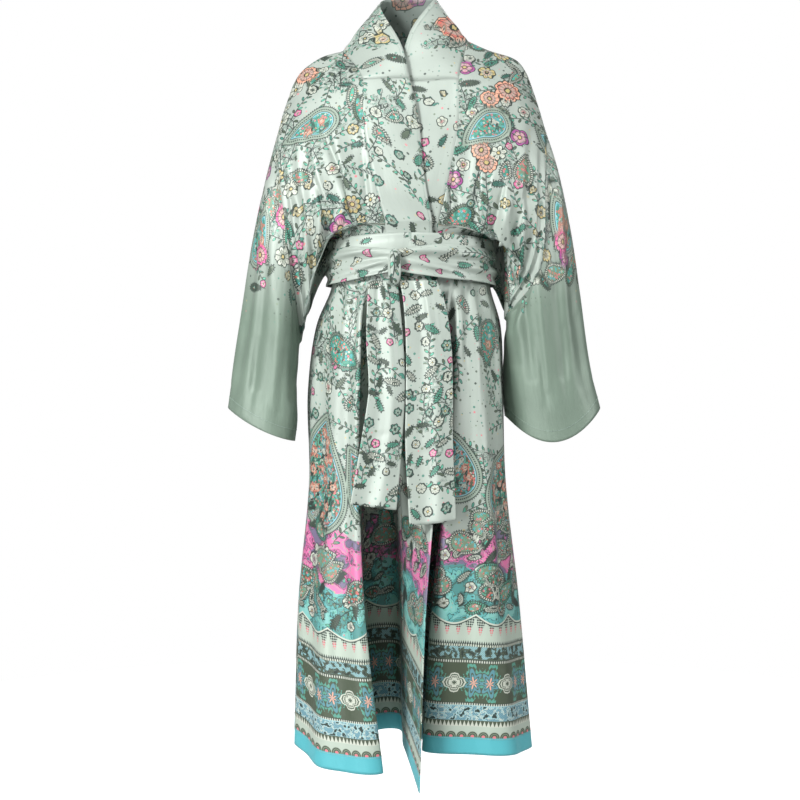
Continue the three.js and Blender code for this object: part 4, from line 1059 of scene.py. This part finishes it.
# The knot: the strip wound once over itself, its creases running down it.
around = np.arange(KNOT_SPOKES) / KNOT_SPOKES * 2 * np.pi
down = np.linspace(0, np.pi, KNOT_RINGS + 2)[1:-1, None]
ball = joined(np.sin(down) * np.cos(around), np.sin(down) * np.sin(around), np.cos(down))
fold = 0.5 + 0.5 * np.cos(5 * around + 1.5 * np.cos(down))
ball = np.sign(ball) * np.abs(ball) ** 0.8
ball[..., :2] *= (1 - 0.16 * (np.sin(down) ** 2) * fold)[..., None]
knot_points = np.concatenate([ball.reshape(-1, 3), [[0, 0, 1], [0, 0, -1]]]) * KNOT_HALF + [KNOT_X, KNOT_Y, KNOT_Z]
top, foot = KNOT_RINGS * KNOT_SPOKES, KNOT_RINGS * KNOT_SPOKES + 1
at = np.arange(top).reshape(KNOT_RINGS, KNOT_SPOKES)
after = np.roll(at, -1, 1)
knot_faces = np.stack([at[:-1], at[1:], after[1:], after[:-1]], -1).reshape(-1, 4).tolist()
knot_faces += [[top, a, b] for a, b in zip(at[0], after[0])] + [[foot, b, a] for a, b in zip(at[-1], after[-1])]
knot_mesh = bpy.data.meshes.new("belt_knot_cloth")
knot_mesh.from_pydata(knot_points * MM, [], knot_faces)
knot_mesh.polygons.foreach_set("use_smooth", np.ones(len(knot_faces), bool))
s = np.append(np.tile(around, KNOT_RINGS) * 11, [0, 0])
t = np.append(np.repeat(down[:, 0], KNOT_SPOKES) * 24, [0, 75])
KNOT_LEAVES = [("leaf", 58, 30, 9, 20, MOSS, OLIVE), ("leaf", 40, 60, 12, 30, MINT, OLIVE)]
dressed(knot_mesh, s, t, s * 0, printed(s, t, KNOT_LEAVES, [[(44, 6), (52, 30), (46, 66)]]))
knot_mesh.materials.append(UPPER_PRINT)
knot = placed("belt_knot_cloth", knot_mesh)
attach(knot, "root")
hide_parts("belt_knot")
worn(drawn_cloth, "belt_pass", "belt", (0.865, 0.065), held="gathered", rests_on="belt_wrap_cloth", with_pieces=[knot])

# The hanging ends, from the knot down: left edge, right edge, how far forward, height.
ENDS = {
    "belt_end_right": (10, [(-73, -24, -128.7, -408), (-76, -21, -138, -440), (-78, -14, -145, -512),
                            (-74, -11, -152, -598), (-86, -16, -159, -684), (-105, -26, -168, -798)]),
    "belt_end_left": (-10, [(-20.8, 44, -129.1, -408), (-15, 56, -136, -440), (-10, 68, -143, -512),
                            (-10, 71, -150, -600), (-11, 71, -156, -690), (-4, 76, -163, -826)]),
}
END_CREASES = [
    (-14, 300, -10, 420, 4, 2), (4, 330, 6, 420, 4, -1.8), (18, 280, 14, 420, 4, 2), (-20, 120, 22, 132, 4, 1.2),
    (-24, 232, 20, 240, 4, 1.2), (0, 20, 4, 200, 8, 1.6), (26, 180, 20, 330, 5, 1.5),
]
for number, (name, (slant, table)) in enumerate(ENDS.items()):
    across = np.linspace(0, 1, END_COLUMNS + 1)
    rows = [joined(left_edge + (right_edge - left_edge) * across, y - 3 * np.cos(3 * np.pi * across),
                   z - (k / 5) ** 3 * slant * (across - 0.5)) for k, (left_edge, right_edge, y, z) in enumerate(table)]
    grid = bend(np.array(rows), stations(END_ROWS))
    s, t = laid_out(grid, END_COLUMNS // 2)
    grid = creased(grid, -1, s, t, END_CREASES)
    piece = belt_cloth(name, grid, s, t, belt_print(95 + 2 * number, s, t, 28, 12))
    worn(piece, name, "belt", (0.085, 0.425), 0.028 + 0.007 * number, rests_on="belt_knot_cloth")

# ---- Stitching ----
# Machine stitches in sage thread: round the cuffs, along the hem, and down the free edges of the collar and bands.
# They hold the turned hems and keep the doubled strips flat.

thread = Dye("sage_thread")
twist = thread.node("ShaderNodeTexNoise", {}, {"Scale": 900.0})
THREAD = thread.satin((*dyed(158, 178, 168), 1), twist, roughness=0.6, sheen=0.0)


STITCH = {"Spacing": 4.2 * MM, "Length": 3 * MM, "Thickness": 0.35 * MM}


def stitch_tree():
    """A strand of thread laid along a line at each step."""
    tree = bpy.data.node_groups.new("stitches", "GeometryNodeTree")
    tree.interface.new_socket("Line", in_out="INPUT", socket_type="NodeSocketGeometry")
    for name in STITCH:
        tree.interface.new_socket(name, in_out="INPUT", socket_type="NodeSocketFloat")
    tree.interface.new_socket("Stitches", in_out="OUTPUT", socket_type="NodeSocketGeometry")
    sewing = Nodes(tree)
    line = sewing.node("NodeGroupInput", {}, {}, "Line")
    spacing, length, thickness = (Value(sewing, line.socket.node.outputs[name]) for name in STITCH)
    curve = sewing.node("GeometryNodeMeshToCurve", {}, {"Mesh": line})
    even = sewing.node("GeometryNodeResampleCurve", {"mode": "LENGTH"}, {"Curve": curve, "Length": spacing})
    tangent = sewing.node("GeometryNodeInputTangent", {}, {})
    lay = sewing.node("FunctionNodeAlignRotationToVector", {"axis": "Z"}, {"Vector": tangent})
    strand = sewing.node("GeometryNodeMeshCylinder", {}, {"Vertices": 5, "Radius": thickness, "Depth": length})
    laid = sewing.node("GeometryNodeInstanceOnPoints", {}, {"Points": even, "Instance": strand, "Rotation": lay})
    real = sewing.node("GeometryNodeRealizeInstances", {}, {"Geometry": laid})
    dyed_thread = sewing.node("GeometryNodeSetMaterial", {}, {"Geometry": real, "Material": THREAD})
    sewing.node("NodeGroupOutput", {}, {"Stitches": dyed_thread})
    return tree


STITCH_TREE = stitch_tree()


def stitched(name, lines):
    """Rows of stitches along lines of points, made a plain mesh."""
    mesh = bpy.data.meshes.new(name)
    starts = np.cumsum([0] + [len(line) for line in lines])
    edges = [(a + k, a + k + 1) for a, line in zip(starts, lines) for k in range(len(line) - 1)]
    mesh.from_pydata(np.concatenate(lines) * MM, edges, [])
    piece = placed(name, mesh)
    rows = piece.modifiers.new("stitches", "NODES")
    rows.node_group = STITCH_TREE
    for item in STITCH_TREE.interface.items_tree:
        if item.name in STITCH:
            rows[item.identifier] = STITCH[item.name]
    plain = bpy.data.meshes.new_from_object(piece.evaluated_get(bpy.context.evaluated_depsgraph_get()))
    piece.modifiers.clear()
    piece.data = plain
    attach(piece, "root")
    return piece


LIFT = 0.3  # the thread lies this far off the cloth, mm
CUFF_HEM, SKIRT_HEM = 20, 28  # the turned hems, mm


def off_face(grid, outward, closed=False):
    return grid + facing(grid, outward, closed) * LIFT


def across_at(grid, t, height, outward, closed=False):
    """The line over a cloth at one height above its lower edge."""
    lifted = off_face(grid, outward, closed)
    line = [[np.interp(-height, -t[:, i], lifted[:, i, k]) for k in range(3)] for i in range(grid.shape[1])]
    return np.array(line + line[:1] if closed else line)


stitched("cuff_stitches", [across_at(grid, t, CUFF_HEM, out, True) for grid, t, out in CUFFS.values()])
hemmed = (right, -1), (left, 1), (back, 1), (BANDS["right"], -1), (BANDS["left"], 1)
stitched("hem_stitches", [across_at(grid, laid_out(grid, 0)[1], SKIRT_HEM, out) for grid, out in hemmed])
stitched("edge_stitches", [off_face(BANDS["right"], -1)[:, -2], off_face(BANDS["left"], 1)[:, -2],
                           off_face(collar, -1)[-2]])

# ---- Studio ----
# A flat pale floor in a white room, soft light from the front on both sides, and the camera level with the hips,
# straight on.

FLOOR_RADIUS, FLOOR_Z = 1.9, -1.425
turn = np.arange(64) / 64 * 2 * np.pi
floor_mesh = bpy.data.meshes.new("floor")
floor_mesh.from_pydata(
    np.stack([FLOOR_RADIUS * np.cos(turn), FLOOR_RADIUS * np.sin(turn), turn * 0 + FLOOR_Z], 1), [], [list(range(64))])
floor = placed("floor", floor_mesh)


def brighter_seen(nodes, kind, values, strength, levels):
    """Paper or air that is seen white but throws little light on the robe."""
    dim, bright = (nodes.node(kind, {}, {**values, strength: level}) for level in levels)
    seen = nodes.node("ShaderNodeLightPath", {}, {}, "Is Camera Ray")
    return nodes.node("ShaderNodeMixShader", {}, {0: seen, 1: dim, 2: bright})


paper = Dye("paper")
floor_mesh.materials.append(paper.ended(brighter_seen(paper, "ShaderNodeBsdfPrincipled", {
    "Base Color": (0.45, 0.45, 0.45, 1), "Roughness": 1.0, "Specular IOR Level": 0.0,
    "Emission Color": (1, 1, 1, 1)}, "Emission Strength", (0.05, 0.9))))

world = bpy.data.worlds.new("studio")
world.use_nodes = True
room = Nodes(world.node_tree)
air = brighter_seen(room, "ShaderNodeBackground", {"Color": (1, 1, 1, 1)}, "Strength", (0.1, 1.0))
room.node("ShaderNodeOutputWorld", {}, {"Surface": air})
bpy.context.scene.world = world
LAMPS = [  # place in m, turn in degrees, width in m, power in W
    ("key", (-1.8, -2.2, 0.9), (62, 0, -39), 0.7, 88), ("fill", (2.5, -1.3, 0.3), (72, 0, 62), 1.2, 42),
    ("low", (-1.7, -2.1, -0.8), (92, 0, -39), 1.0, 32), ("top", (0.1, -0.9, 1.6), (30, 0, 0), 1.0, 15),
    ("rear", (0.4, 2.4, 0.6), (-66, 0, 10), 1.4, 40),
]
for name, place, turn, width, power in LAMPS:
    light = bpy.data.lights.new(name, "AREA")
    light.size, light.energy = width, power
    lamp = placed(name, light)
    lamp.location, lamp.rotation_euler = place, np.radians(turn)

SENSOR = 36
VIEW_WIDTH, FOCAL = 800, 1428  # the view's width and its focal length, in pixels
view = bpy.data.cameras.new("camera")
view.sensor_width, view.lens = SENSOR, SENSOR * FOCAL / VIEW_WIDTH
camera = placed("camera", view)
camera.location, camera.rotation_euler = (-0.02, -2.6, -0.615), (np.pi / 2, 0, 0)
bpy.context.scene.camera = camera
bpy.context.scene.view_settings.view_transform = "Standard"
